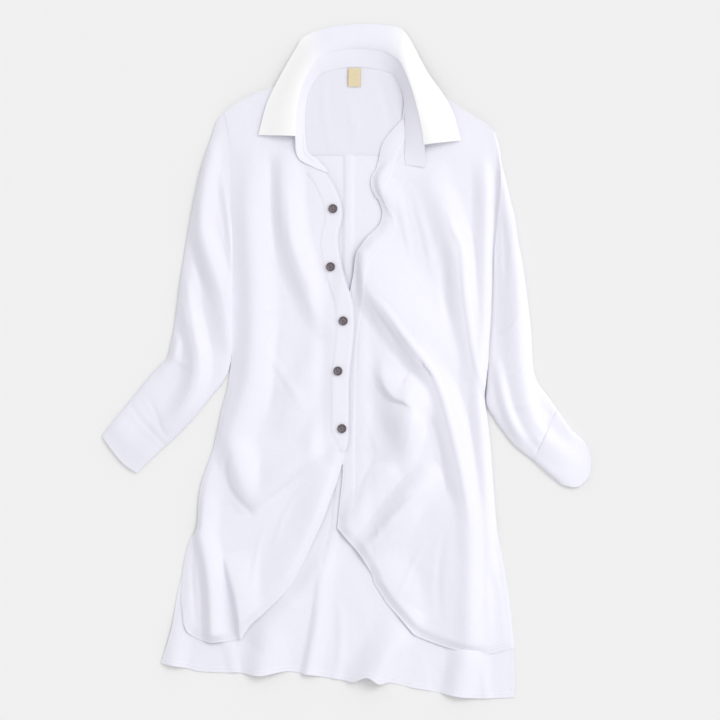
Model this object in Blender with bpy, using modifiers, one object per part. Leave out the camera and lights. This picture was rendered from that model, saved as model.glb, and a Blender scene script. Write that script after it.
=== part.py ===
"""Linen shirt dress laid flat on its back, front open, collar spread.

Run with: blender --background --python part.py
Tables are in millimetres: x to the viewer's right, y towards the collar, z up from the surface
it lies on.  The origin is the middle of the garment's outline on that surface.
West is the viewer's left and east the viewer's right.
"""
import math
from collections import namedtuple

import bmesh
import bpy
import numpy as np
from mathutils import Vector

MM = 0.001

# Cloth and gaps
LINEN = 1.4            # one layer of the linen, with its seam allowances pressed in
YOKE_CLOTH = 2.4       # outer and inner yoke sewn together
COLLAR_CLOTH = 2.0     # two layers and an interlining
CUFF_CLOTH = 2.0
PLACKET_CLOTH = 1.2    # turned strip that lies on the front
SEAM = 0.3             # half of this on each side of a seam that meets edge to edge
LAYER_GAP = 0.7        # air between a panel and the one that it lies on
STRIP_GAP = 0.4        # air under a placket, a button or the label

# Sizes of the small pieces
PLACKET_WIDTH = 28.0
PLACKET_COLUMNS = 3
PLACKET_END_WEST_Y = -142.0
PLACKET_END_EAST_Y = -236.0
BUTTON_DIAMETER = 13.5
BUTTON_THICKNESS = 2.8
BUTTON_SIDES = 16
BUTTON_SEAT = 0.35           # air between a button and the highest point of the placket under it
BUTTON_RINGS = (0.0, 0.5, 1.0)    # shares of its radius at which the placket is felt for
FEEL_FROM = 60.0             # height from which it is felt for
BUTTON_RIM = 1.6
BUTTON_ROUNDING = 0.6
BUTTON_DISH = 0.9
BUTTON_HOLE = 1.7
BUTTON_HOLE_SPACING = 3.0
BUTTON_TURN = 0.3            # each button is turned this much further than the one before, radians
LABEL_WIDTH = 19.0
LABEL_LENGTH = 28.0
LABEL_CLOTH = 1.0
LABEL_CORNER = (3.0, 439.0)

# Heights of the layers over the floor
FRONT_BASE = LINEN + LAYER_GAP
OVER_YOKE = YOKE_CLOTH - LINEN
LAP_LIFT = LINEN + STRIP_GAP + PLACKET_CLOTH + 1.4 * LAYER_GAP
SLEEVE_HEIGHT = 8.0
ARMHOLE_HEIGHT = 5.2
CUFF_HEIGHT = 8.5

YOKE_SEAM_Y = 309.0
YOKE_EDGE = (290.0, 318.0)   # y over which the fronts climb on to the yoke
PLEAT_RISE = 2.0             # doubled cloth of the centre back pleat
PLEAT_COLUMN = 0.425         # where it lies across the back, as a share of the width
PLEAT_WIDTH = 0.026
PLEAT_FLANK = 1.15           # outer edge of its flank, in half widths
PLEAT_SHADOW_WEST = (-80.0, -30.0)   # x over which the fronts climb on to the pleat
PLEAT_SHADOW_EAST = (18.0, 40.0)
MAX_SPARE = 1.5              # most extra air over a fold of the back
STRIP_STIFFNESS = 0.65       # how far the button strip flattens the folds under it
STRIP_FROM_X = (-54.0, -30.0)
STRIP_FROM_Y = (-170.0, -130.0)
LAP_APPROACH = (34.0, 12.0)  # the western front climbs over this stretch west of the edge below
LAP_ENDS_Y = (130.0, 160.0)
LAP_SMOOTH_X = (12.0, 30.0)  # the eastern front is smooth where it lies under the western one
EASE_ACROSS = 31.0           # the slight unevenness: lengths over which it turns
EASE_DOWN = 47.0
ARMHOLE_GAP = 1.5            # between the side of the body and a sleeve

# Outlines, each from the collar down or from west to east: x, y
SHOULDER_WEST = ((-182, 371), (-165, 385), (-145, 396), (-120, 406), (-95, 414), (-54, 420))
SHOULDER_EAST = ((93, 420), (125, 405), (150, 392), (180, 374), (205, 358), (221, 345))
BACK_NECK = ((-54, 420), (-42, 433), (-20, 442), (15, 445), (50, 442), (75, 434), (93, 420))

BODY_WEST = (
    (-182, 371), (-176, 340), (-173, 309), (-171, 240), (-170, 185), (-170, 120), (-170, 60),
    (-171, 10), (-174, -20), (-178, -45), (-186, -75), (-191, -100), (-198, -130), (-207, -157),
    (-215, -180), (-220, -205), (-222, -249))
BODY_EAST = (
    (221, 345), (224, 309), (223, 240), (222, 180), (221, 120), (218, 60), (213, 0), (208, -55),
    (212, -90), (216, -130), (220, -180), (223, -220), (227, -260), (233, -290), (240, -330),
    (247, -380), (252, -430))

BACK_TAIL_WEST = (
    (-236, -290), (-247, -325), (-253, -350), (-260, -395), (-268, -425), (-277, -453))
BACK_TAIL_EAST = ((254, -470), (253, -504))
BACK_HEM = (
    (-277, -453), (-240, -460), (-220, -465), (-185, -467), (-160, -467), (-130, -471),
    (-105, -467), (-85, -465), (-60, -469), (-30, -474), (0, -479), (12, -480), (32, -473),
    (50, -483), (66, -482), (100, -490), (130, -495), (160, -501), (190, -505), (220, -505.5),
    (253, -504))

FRONT_TAIL_WEST = ((-234, -269), (-242, -299), (-246, -330), (-247, -360), (-243, -393))
FRONT_HEM_WEST = ((-243, -393), (-236, -408), (-211, -420), (-189, -421), (-153, -416))
FRONT_NECK_WEST = (
    (-54, 420), (-60, 404), (-63.5, 372), (-63.5, 338), (-60, 311), (-47, 300), (-33, 285))
FRONT_EDGE_WEST = (
    (-33, 285), (-26, 277), (-16, 260), (-8, 240), (-5, 218), (-11, 190), (-10, 165), (-5, 140),
    (1, 118), (10, 90), (13, 60), (12, 38), (8, 0), (5, -30), (5, -75), (5, -110), (2, -130),
    (-5, -152), (-13, -180), (-22, -205), (-35, -240), (-50, -272), (-62, -299), (-80, -332),
    (-101, -357), (-126, -381), (-141, -396), (-153, -416))

FRONT_NECK_EAST = ((93, 420), (89, 395), (84, 362))
FRONT_EDGE_EAST = (
    (84, 362), (70, 346), (60, 334), (53, 320), (50, 305), (46, 290), (39, 278), (37, 264),
    (42, 250), (50, 238), (55, 222), (52, 207), (45, 197), (35, 187), (25, 173), (18, 163),
    (14, 150), (12, 135), (7, 110), (2, 80), (-2, 50), (-4, 0), (-5, -60), (-6, -120),
    (-5, -170), (-8, -200), (-11, -230), (-13, -250))
LAP_EDGE_X = tuple(x for x, y in reversed(FRONT_EDGE_EAST) if y < 165)
LAP_EDGE_Y = tuple(y for x, y in reversed(FRONT_EDGE_EAST) if y < 165)
FRONT_HEM_EAST = (
    (-13, -250), (0, -266), (10, -277), (20, -289), (32, -308), (40, -322), (42, -332),
    (52, -348), (62, -364), (80, -384), (95, -402), (106, -412), (140, -425), (172, -434),
    (210, -439), (252, -430))

# Sleeves: outer edge from the shoulder to the cuff seam, inner edge from the underarm to it
SLEEVE_WEST_OUTER = (
    (-184, 372.5), (-195, 358), (-202, 335), (-210, 309), (-220, 270), (-230, 227), (-239, 182),
    (-246, 137), (-252, 92), (-258, 50), (-263, 25), (-268, 5), (-277, -5), (-290, -18),
    (-312, -45), (-334, -72))
SLEEVE_WEST_INNER = (
    (-172, 184), (-172, 120), (-172.5, 60), (-174, 10), (-180, -24), (-200, -50), (-220, -75),
    (-240, -98), (-260, -118), (-277, -133))
SLEEVE_EAST_OUTER = (
    (223, 346), (230, 322), (234, 295), (240, 270), (247, 240), (253, 215), (258, 180),
    (264, 150), (270, 110), (275, 70), (278, 40), (280, 0), (283, -20), (290, -36), (300, -49),
    (317, -73))
SLEEVE_EAST_INNER = (
    (223.5, 180), (223, 120), (220, 60), (215.5, 0), (212, -58), (222, -86), (236, -106),
    (250, -124), (265, -137), (282, -150))
CUFF_WEST_OUTER = ((-334, -72), (-350, -91), (-366, -111))
CUFF_WEST_INNER = ((-277, -133), (-295, -150), (-313, -168))
CUFF_WEST_END = ((-366, -111), (-352, -131), (-334, -153), (-313, -168))
CUFF_EAST_OUTER = ((317, -73), (325, -85), (337, -102), (354, -117))
CUFF_EAST_INNER = ((282, -150), (300, -166), (320, -184))
CUFF_EAST_END = ((354, -117), (363, -132), (367, -150), (365, -168), (357, -181), (343, -189), (320, -184))

# Collar, from the western front end round the back to the eastern one.  The band stands from
# its seam to the roll.  The leaf falls from the roll to its edge, between the stations that
# have an edge.
Collar = namedtuple("Collar", "seam roll edge")
COLLAR = (
    Collar((-31, 289, 5.8), (-26, 281, 9.0), None),
    Collar((-45, 304, 5.6), (-50, 291, 17.0), None),
    Collar((-58, 314, 5.2), (-72, 305, 22.0), None),
    Collar((-62, 338, 5.0), (-76, 336, 25.0), (-131, 338, 8.5)),
    Collar((-62, 372, 5.0), (-75, 374, 26.0), (-118, 386, 8.5)),
    Collar((-57, 402, 5.0), (-66, 412, 26.0), (-98, 427, 7.5)),
    Collar((-42, 427, 4.2), (-50, 443, 23.0), (-76, 466, 4.5)),
    Collar((-31, 433, 4.0), (-38, 455, 19.0), (-64, 485, 2.5)),
    Collar((-14, 438, 4.0), (-20, 464, 14.5), (-34, 498, 1.6)),
    Collar((15, 441, 4.0), (15, 469, 10.5), (20, 505.5, 1.6)),
    Collar((46, 438, 4.0), (50, 466, 13.0), (58, 503.5, 1.6)),
    Collar((61, 434, 4.0), (68, 458, 17.0), (78, 500, 2.0)),
    Collar((73, 427, 4.4), (82, 446, 21.5), (93, 486, 4.0)),
    Collar((85, 402, 5.2), (97, 412, 26.0), (122, 432, 7.5)),
    Collar((88, 376, 7.0), (106, 381, 27.0), (144, 401, 8.5)),
    Collar((89, 348, 8.2), (113, 351, 27.0), (161, 370, 9.0)),
    Collar((89, 322, 8.4), (117, 323, 24.0), (172, 330, 8.5)),
    Collar((92, 306, 8.4), (119, 304, 17.0), None),
    Collar((98, 296, 8.4), (121, 291, 12.5), None))
BAND_COLUMNS = 3
LEAF_SHARES = (0.0, 0.1, 0.26, 0.5, 0.75, 1.0)
LEAF_ARCH = 5.0              # the leaf's rise over a straight line from roll to edge
LEAF_ARCH_SCALE = 6.75       # brings the peak of s (1 - s)^2 to one
LEAF_GAP = 0.8               # from the roll to the leaf where the band lies flat
LEAF_GAP_STEEP = 1.9         # and what is added where the band stands upright

# Buttons on the western placket: x, y
BUTTONS = ((-19.5, 228), (-23, 141), (-4, 60), (-12, -15), (-6, -101))

# Folds, each from its upper end down.  A fold falls away over `west` millimetres on the
# viewer's left and `east` on the right, and its crest leans to the west by `lean`.
# Each crest point is x, y, height.
Fold = namedtuple("Fold", "name west east lean crest")

BACK_FOLDS = (
    Fold("corner roll", 22, 26, 0, ((-232, -345, 0), (-250, -400, 4), (-262, -470, 8))),
    Fold("tail roll", 34, 46, 0, (
        (-70, -345, 0), (-104, -392, 4), (-120, -430, 9), (-130, -485, 12))),
    Fold("pleat end", 10, 26, 0, ((-36, -290, 0), (-40, -345, 3), (-46, -400, 5), (-62, -480, 7))),
    Fold("hem fold", 46, 26, 0, (
        (108, -372, 0), (92, -398, 5), (76, -420, 12), (56, -448, 17), (34, -492, 20))),
    Fold("east ripple", 24, 34, 0, ((178, -420, 0), (168, -450, 4), (160, -515, 7))))

WEST_FOLDS = (
    Fold("side fold", 26, 30, 3, (
        (-134, 335, 0), (-146, 270, 11), (-151, 220, 15), (-144, 150, 17), (-141, 60, 18),
        (-144, -10, 18), (-148, -45, 16), (-160, -80, 14), (-168, -108, 14), (-163, -140, 15),
        (-153, -175, 15), (-140, -202, 9), (-130, -222, 0))),
    Fold("breast fold", 30, 26, 4, (
        (-92, 320, 0), (-90, 285, 10), (-94, 230, 14), (-88, 185, 15), (-77, 145, 15),
        (-62, 110, 13), (-46, 80, 10), (-30, 56, 6), (-14, 36, 0))),
    Fold("waist wave", 34, 40, 0, (
        (-22, 22, 0), (-46, -2, 6), (-72, -40, 8), (-86, -85, 6), (-96, -120, 0))),
    Fold("sling", 52, 22, 0, (
        (2, -96, 2), (-26, -122, 9), (-56, -144, 11), (-86, -162, 12), (-114, -186, 12),
        (-138, -198, 8), (-150, -205, 0))),
    Fold("tail side roll", 18, 22, 2, (
        (-196, -110, 0), (-198, -160, 6), (-208, -215, 11), (-209, -270, 14), (-202, -330, 16),
        (-198, -390, 17), (-196, -440, 17))),
    Fold("tail lap", 14, 54, 3, (
        (-180, -290, 0), (-172, -315, 7), (-162, -350, 12), (-156, -385, 13), (-152, -430, 12))),
    Fold("hem edge roll", 48, 24, 0, (
        (-20, -150, 2), (-44, -200, 7), (-70, -258, 8), (-98, -310, 8), (-132, -352, 6),
        (-152, -380, 2))))

EAST_FOLDS = (
    Fold("edge bulge", 10, 34, 2, (
        (74, 300, 2), (54, 282, 8), (52, 262, 10), (60, 240, 7), (66, 222, 3))),
    Fold("long fold", 30, 60, 6, (
        (34, 196, 4), (29, 172, 12), (28, 142, 16), (42, 100, 20), (70, 66, 22), (96, 34, 20),
        (110, 10, 14))),
    Fold("long fold, lower", 24, 22, 1, (
        (88, 44, 4), (100, 27, 12), (119, -5, 16), (138, -45, 15), (152, -85, 14), (161, -120, 14),
        (171, -165, 15), (178, -205, 15), (178, -260, 16), (176, -330, 17), (174, -385, 17),
        (176, -460, 15))),
    Fold("long fold, outer face", 20, 38, 0, (
        (176, -180, 0), (180, -230, 9), (178, -330, 12), (178, -460, 12))),
    Fold("breast fold", 34, 26, 3, (
        (128, 300, 0), (138, 255, 8), (158, 205, 13), (167, 160, 14), (176, 110, 14), (182, 50, 12),
        (191, 0, 9), (197, -50, 5), (200, -100, 0))),
    Fold("side roll", 22, 14, 0, (
        (205, 310, 0), (209, 260, 9), (208, 160, 9), (205, 60, 9), (200, 0, 9), (196, -50, 9),
        (204, -130, 8), (209, -220, 8), (215, -300, 5), (222, -350, 0))),
    Fold("hook", 17, 46, 2, (
        (60, 26, 0), (62, -12, 9), (67, -35, 17), (79, -51, 20), (94, -55, 18), (106, -66, 12),
        (116, -84, 6), (122, -100, 0))),
    Fold("pocket wall", 17, 30, 0, (
        (106, -52, 4), (100, -72, 14), (94, -92, 15), (86, -114, 10), (76, -136, 0))),
    Fold("upper drape", 27, 26, 0, (
        (90, -140, 0), (66, -163, 7), (42, -188, 9), (22, -218, 9), (0, -258, 8))),
    Fold("lower drape", 30, 36, 0, (
        (140, -166, 0), (118, -180, 9), (96, -200, 12), (79, -224, 13), (60, -248, 13),
        (36, -274, 12), (16, -296, 10))),
    Fold("hem edge roll", 16, 60, 0, (
        (30, -290, 2), (56, -330, 6), (86, -370, 7), (116, -398, 6), (150, -414, 4))))

SLEEVE_WEST_FOLDS = (
    Fold("upper arm fold", 34, 22, 3, (
        (-190, 340, 0), (-205, 300, 8), (-212, 250, 12), (-213, 200, 13), (-204, 165, 13),
        (-194, 132, 12), (-184, 95, 9), (-180, 50, 6), (-178, 10, 0))),
    Fold("forearm fold", 30, 22, 3, (
        (-232, 150, 0), (-236, 110, 6), (-234, 75, 9), (-226, 45, 11), (-220, 10, 12),
        (-221, -22, 12), (-230, -52, 12), (-245, -78, 10), (-262, -96, 7), (-290, -120, 3),
        (-310, -140, 0))),
    Fold("elbow knuckle", 12, 14, 0, ((-252, 44, 0), (-254, 20, 6), (-262, 2, 5), (-284, -22, 0))))

SLEEVE_EAST_FOLDS = (
    Fold("outer fold", 30, 22, 0, (
        (236, 300, 0), (246, 240, 8), (253, 190, 11), (256, 110, 12), (257, 40, 12), (262, -20, 12),
        (272, -68, 12), (288, -104, 11), (308, -126, 8), (334, -146, 3), (350, -158, 0))),
    Fold("inner fold", 14, 16, 0, (
        (226, 10, 0), (231, -30, 5), (240, -70, 7), (256, -104, 6), (280, -132, 0))))

# Grids: lengths of a panel's cells, along and across
CELL_ALONG = 18.0
COLUMN_SPREAD = 1.2          # cells are narrower beside the open edge, where the folds are sharper
SLEEVE_ROWS = 23
CUFF_ROWS = 4
BACK_CELL_ACROSS = 20.0
BACK_CELL_HIDDEN = 62.0
BACK_HIDDEN_TO_Y = -230.0
YOKE_COLUMNS = 22
YOKE_ROWS = 3
WEST_COLUMNS = 11            # of the fronts, beside those of the placket
EAST_COLUMNS = 14

LINEN_COLOUR = (0.90, 0.90, 0.92, 1.0)
LABEL_COLOUR = (0.70, 0.60, 0.42, 1.0)
BUTTON_COLOUR = (0.11, 0.095, 0.105, 1.0)


def smooth_curve(points, per_span=8):
    """Catmull-Rom curve through the points, as an array of close points."""
    knots = np.asarray(points, dtype=float)
    padded = np.vstack([2 * knots[0] - knots[1], knots, 2 * knots[-1] - knots[-2]])
    steps = np.linspace(0.0, 1.0, per_span, endpoint=False)[:, None]
    spans = []
    for before, start, end, after in zip(padded, padded[1:], padded[2:], padded[3:]):
        spans.append(0.5 * (2 * start + (end - before) * steps
                            + (2 * before - 5 * start + 4 * end - after) * steps ** 2
                            + (3 * start - before - 3 * end + after) * steps ** 3))
    return np.vstack(spans + [knots[-1:]])


def along(curve, fractions):
    """Points of a curve at fractions of its length."""
    lengths = np.concatenate([[0.0], np.cumsum(np.linalg.norm(np.diff(curve, axis=0), axis=1))])
    wanted = np.asarray(fractions) * lengths[-1]
    return np.column_stack([np.interp(wanted, lengths, curve[:, axis]) for axis in range(curve.shape[1])])


def curve_length(curve):
    return float(np.linalg.norm(np.diff(curve, axis=0), axis=1).sum())


def smoothstep(low, high, value):
    ratio = np.clip((value - low) / (high - low), 0.0, 1.0)
    return ratio * ratio * (3.0 - 2.0 * ratio)


def fold_shape(fold, x, y):
    """Height of one fold at plan points, and the unit direction in which it leans."""
    crest = smooth_curve(fold.crest, 5)
    start, step = crest[:-1], np.diff(crest, axis=0)
    length_squared = np.maximum((step[:, :2] ** 2).sum(axis=1), 1e-9)
    off_x = x[:, None] - start[:, 0]
    off_y = y[:, None] - start[:, 1]
    ratio = np.clip((off_x * step[:, 0] + off_y * step[:, 1]) / length_squared, 0.0, 1.0)
    away_x = off_x - ratio * step[:, 0]
    away_y = off_y - ratio * step[:, 1]
    distance = np.hypot(away_x, away_y)
    nearest = distance.argmin(axis=1)
    pick = (np.arange(len(x)), nearest)
    side = step[nearest, 0] * off_y[pick] - step[nearest, 1] * off_x[pick]
    reach = np.where(side > 0.0, fold.east, fold.west)
    fall = np.clip(1.0 - distance[pick] / reach, 0.0, 1.0)
    profile = fall * fall * (3.0 - 2.0 * fall)
    height = (start[nearest, 2] + ratio[pick] * step[nearest, 2]).clip(0.0) * profile
    heading = step[nearest, :2] / np.sqrt(length_squared[nearest])[:, None]
    lean = fold.lean * profile * profile * height / max(point[2] for point in fold.crest)
    return height, lean * heading[:, 1], -lean * heading[:, 0]


def drape(folds, x, y):
    """Sideways shift and height that a set of folds gives to plan points."""
    total = np.zeros(len(x))
    shift_x = np.zeros(len(x))
    shift_y = np.zeros(len(x))
    for fold in folds:
        height, lean_x, lean_y = fold_shape(fold, x, y)
        total += height ** 3
        shift_x += lean_x
        shift_y += lean_y
    return shift_x, shift_y, np.cbrt(total)


def ease(x, y):
    """The slight unevenness of linen that lies on other cloth."""
    return 0.5 + 0.5 * np.sin(x / EASE_ACROSS + 0.8) * np.sin(y / EASE_DOWN + 0.3)


def back_surface(x, y):
    shift_x, shift_y, height = drape(BACK_FOLDS, x, y)
    return x + shift_x, y + shift_y, height


def front_floor(x, y):
    """Lowest underside of a front: the back or the yoke under it, and a little air."""
    _, _, below = back_surface(x, y)
    spare = np.minimum(0.5 * below, MAX_SPARE)
    near_pleat = smoothstep(*PLEAT_SHADOW_WEST, x) * (1.0 - smoothstep(*PLEAT_SHADOW_EAST, x))
    over_pleat = PLEAT_RISE * near_pleat
    over_yoke = OVER_YOKE * smoothstep(*YOKE_EDGE, y)
    return FRONT_BASE + below + spare + np.maximum(over_pleat, over_yoke)


def east_front_surface(x, y):
    shift_x, shift_y, height = drape(EAST_FOLDS, x, y)
    beside_lap = smoothstep(*LAP_SMOOTH_X, x)
    return x + shift_x, y + shift_y, front_floor(x, y) + height + ease(x, y) * beside_lap


def west_front_surface(x, y):
    """The western front: its button strip is stiffer and laps over the eastern front."""
    shift_x, shift_y, height = drape(WEST_FOLDS, x, y)
    strip = smoothstep(*STRIP_FROM_X, x) * smoothstep(*STRIP_FROM_Y, y)
    own = front_floor(x, y) + height * (1.0 - STRIP_STIFFNESS * strip) + ease(x, y) * (1.0 - strip)
    lap_edge = np.interp(y, LAP_EDGE_Y, LAP_EDGE_X)
    approach = smoothstep(lap_edge - LAP_APPROACH[0], lap_edge - LAP_APPROACH[1], x)
    over_lap = approach * (1.0 - smoothstep(*LAP_ENDS_Y, y))
    _, _, east_height = east_front_surface(x, y)
    lap = np.maximum(east_height + LAP_LIFT - own, 0.0)
    return x + shift_x, y + shift_y, own + over_lap * lap


def surface_points(surface, plan):
    """Points of a surface over an array of plan points, rows by columns by x and y."""
    rows, columns = plan.shape[:2]
    x, y, z = surface(plan[..., 0].ravel(), plan[..., 1].ravel())
    return np.column_stack([x, y, z]).reshape(rows, columns, 3)


def fill_outline(top, bottom, west, east, across, down):
    """Coons patch between four curves, sampled at fractions across and down.

    `across` may be one row of fractions for the whole patch, or a row for each row of it."""
    down = np.asarray(down, dtype=float)
    across = np.broadcast_to(across, (len(down), np.shape(across)[-1]))
    top_row = along(top, across.ravel()).reshape(across.shape + (2,))
    bottom_row = along(bottom, across.ravel()).reshape(across.shape + (2,))
    west_side, east_side = along(west, down)[:, None, :], along(east, down)[:, None, :]
    u = across[:, :, None]
    v = down[:, None, None]
    sides = (1 - u) * west_side + u * east_side
    ends = (1 - v) * top_row + v * bottom_row
    corners = ((1 - u) * (1 - v) * top[0] + u * (1 - v) * top[-1]
               + (1 - u) * v * bottom[0] + u * v * bottom[-1])
    return sides + ends - corners


def grid_normals(points):
    """Upward unit normals of a grid of points."""
    normals = np.cross(np.gradient(points, axis=1), -np.gradient(points, axis=0))
    return normals / np.linalg.norm(normals, axis=2, keepdims=True)


def even(count):
    return np.linspace(0.0, 1.0, count + 1)


def new_object(name, mesh, colour, roughness):
    material = bpy.data.materials.new(name)
    material.use_nodes = True
    shader = material.node_tree.nodes["Principled BSDF"]
    shader.inputs["Base Color"].default_value = colour
    shader.inputs["Roughness"].default_value = roughness
    mesh.materials.clear()
    mesh.materials.append(material)
    piece = bpy.data.objects.new(name, mesh)
    bpy.data.collections["shirt_dress"].objects.link(piece)
    return piece


def falling_diagonals(points):
    """For each cell of a grid, whether its first diagonal follows the folds better than its second."""
    height = points[..., 2]
    bend = sum(np.gradient(np.gradient(height, axis=axis), axis=axis) for axis in (0, 1))
    cell_bend = bend[:-1, :-1] + bend[:-1, 1:] + bend[1:, :-1] + bend[1:, 1:]
    twist = height[1:, 1:] - height[1:, :-1] - height[:-1, 1:] + height[:-1, :-1]
    return twist * cell_bend < 0.0


def grid_mesh(name, points, falling=None):
    """Mesh of a grid of points in millimetres.

    With `falling` it is open and its cells are split along those diagonals, faces upward.
    Without it the last column joins the first."""
    rows, columns = points.shape[:2]
    mesh = bmesh.new()
    verts = [mesh.verts.new(point * MM) for point in points.reshape(-1, 3)]
    for row in range(rows - 1):
        for column in range(columns if falling is None else columns - 1):
            beside = (column + 1) % columns
            corners = (verts[row * columns + column], verts[(row + 1) * columns + column],
                       verts[(row + 1) * columns + beside], verts[row * columns + beside])
            if falling is None:
                mesh.faces.new(corners)
            else:
                first = 0 if falling[row, column] else 1
                mesh.faces.new((corners[first], corners[first + 1], corners[first + 2]))
                mesh.faces.new((corners[first], corners[first + 2], corners[first - 1]))
    result = bpy.data.meshes.new(name)
    mesh.to_mesh(result)
    mesh.free()
    result.shade_smooth()
    return result


def cloth(name, points, thickness, falling=None, grow=1.0):
    """Cloth wall: a sheet of points thickened to one side with Solidify."""
    piece = new_object(name, grid_mesh(name, points, falling), LINEN_COLOUR, 0.85)
    wall = piece.modifiers.new("Wall", "SOLIDIFY")
    wall.thickness = thickness * MM
    wall.offset = grow
    return piece


def sections(*runs):
    """Fractions down a panel from (end fraction, number of rows) runs."""
    fractions, start = [0.0], 0.0
    for stop, count in runs:
        fractions.extend(start + (stop - start) * even(count)[1:])
        start = stop
    return np.array(fractions)


def make_back():
    west = smooth_curve(BODY_WEST[2:] + BACK_TAIL_WEST)
    east = smooth_curve(BODY_EAST[1:] + BACK_TAIL_EAST)
    top = np.array([(BODY_WEST[2][0], YOKE_SEAM_Y), (BODY_EAST[1][0], YOKE_SEAM_Y)], dtype=float)
    length = curve_length(west)
    hidden = (YOKE_SEAM_Y - BACK_HIDDEN_TO_Y) / length
    down = sections((hidden, round(hidden * length / BACK_CELL_HIDDEN)),
                    (1.0, round((1.0 - hidden) * length / CELL_ALONG)))
    columns = round(curve_length(smooth_curve(BACK_HEM)) / BACK_CELL_ACROSS)
    plain = even(columns)
    half = PLEAT_WIDTH / 2
    clear = plain[np.abs(plain - PLEAT_COLUMN) > PLEAT_WIDTH]
    pleat = PLEAT_COLUMN + np.array([-PLEAT_FLANK, -1.0, 1.0, PLEAT_FLANK]) * half
    across = np.sort(np.concatenate([clear, pleat]))
    plan = fill_outline(top, smooth_curve(BACK_HEM), west, east, across, down)
    points = surface_points(back_surface, plan)
    raised = np.abs(across - PLEAT_COLUMN) < half * (1.0 + PLEAT_FLANK) / 2
    points[:, raised, 2] += PLEAT_RISE
    cloth("back", points, LINEN, falling_diagonals(points))


def make_yoke():
    """Flat plate: its upper edge is the shoulders and the back neck, its lower edge a seam."""
    top = np.vstack([smooth_curve(SHOULDER_WEST), smooth_curve(BACK_NECK)[1:],
                     smooth_curve(SHOULDER_EAST)[1:]])
    bottom_y = YOKE_SEAM_Y + SEAM
    west = smooth_curve(BODY_WEST[:2] + ((BODY_WEST[2][0], bottom_y),))
    east = smooth_curve(BODY_EAST[:1] + ((BODY_EAST[1][0], bottom_y),))
    bottom = np.array([west[-1], east[-1]])
    plan = fill_outline(top, bottom, west, east, even(YOKE_COLUMNS), even(YOKE_ROWS))
    points = np.dstack([plan, np.zeros(plan.shape[:2])])
    cloth("yoke", points, YOKE_CLOTH, falling_diagonals(points))


def front_plan(top, bottom, west, east, strip_side, down, columns):
    """Plan of a front whose columns beside the open edge keep the placket's width."""
    width = np.linalg.norm(along(east, down) - along(west, down), axis=1)[:, None]
    strip = PLACKET_WIDTH / width * even(PLACKET_COLUMNS)[None, :]
    rest = strip[:, -1:] + (1.0 - strip[:, -1:]) * even(columns)[None, 1:] ** COLUMN_SPREAD
    across = np.hstack([strip, rest])
    if strip_side == "east":
        across = 1.0 - across[:, ::-1]
    return fill_outline(top, bottom, west, east, across, down)


def front_rows(neck, edge, strip_end_y):
    """Row fractions with a row at the neck's end and one where the placket ends."""
    whole = curve_length(neck) + curve_length(edge)
    neck_end = curve_length(neck) / whole
    above = edge[edge[:, 1] > strip_end_y]
    strip_end = neck_end + curve_length(above) / whole
    counts = [max(round(share * whole / CELL_ALONG), 1)
              for share in (neck_end, strip_end - neck_end, 1.0 - strip_end)]
    down = sections((neck_end, counts[0]), (strip_end, counts[1]), (1.0, counts[2]))
    return down, counts[0], counts[0] + counts[1]


def make_fronts():
    """Both fronts, and on each its placket, which is made from the front's own points."""
    neck, edge = smooth_curve(FRONT_NECK_WEST), smooth_curve(FRONT_EDGE_WEST)
    down, first, last = front_rows(neck, edge, PLACKET_END_WEST_Y)
    plan = front_plan(smooth_curve(SHOULDER_WEST), smooth_curve(FRONT_HEM_WEST),
                      smooth_curve(BODY_WEST + FRONT_TAIL_WEST), np.vstack([neck, edge[1:]]),
                      "east", down, WEST_COLUMNS)
    points = surface_points(west_front_surface, plan)
    make_front("left", points, slice(first, last + 1), slice(-PLACKET_COLUMNS - 1, None))

    neck, edge = smooth_curve(FRONT_NECK_EAST), smooth_curve(FRONT_EDGE_EAST)
    down, first, last = front_rows(neck, edge, PLACKET_END_EAST_Y)
    plan = front_plan(smooth_curve(SHOULDER_EAST), smooth_curve(FRONT_HEM_EAST),
                      np.vstack([neck, edge[1:]]), smooth_curve(BODY_EAST),
                      "west", down, EAST_COLUMNS)
    points = surface_points(east_front_surface, plan)
    make_front("right", points, slice(first, last + 1), slice(None, PLACKET_COLUMNS + 1))


def make_front(side, points, strip_rows, strip_columns):
    """A front, and the placket that lies on the given rows and columns of it."""
    falling = falling_diagonals(points)
    cloth("front_" + side, points, LINEN, falling)
    over = points + (LINEN + STRIP_GAP) * grid_normals(points)
    strip_cells = falling[strip_rows][:-1]
    strip_cells = strip_cells[:, -PLACKET_COLUMNS:] if side == "left" else strip_cells[:, :PLACKET_COLUMNS]
    cloth("placket_" + side, over[strip_rows, strip_columns], PLACKET_CLOTH, strip_cells)


def flat_tube(name, west, east, start, end, height, wall, rows):
    """Flattened tube of cloth, open at both ends, lying on the floor."""
    shares = np.array((
        # across, share of the height there
        (0.00, 0.45), (0.035, 0.84), (0.11, 1.0), (0.24, 1.0), (0.38, 1.0), (0.52, 1.0),
        (0.66, 1.0), (0.79, 1.0), (0.90, 1.0), (0.965, 0.84), (1.00, 0.45), (0.95, 0.0),
        (0.65, 0.0), (0.35, 0.0), (0.05, 0.0)))
    down = even(rows)
    plan = fill_outline(start, end, west, east, shares[:, 0], down)
    x, y, z = height(plan[..., 0].ravel(), plan[..., 1].ravel(), np.repeat(down, len(shares)))
    over = np.column_stack([x, y, z]).reshape(plan.shape[:2] + (3,))
    over[..., 2] *= shares[:, 1]
    under = np.dstack([plan, np.zeros(plan.shape[:2])])
    points = np.where(shares[None, :, 1:] > 0.0, over, under)
    cloth(name, points, wall, grow=-1.0)


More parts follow.
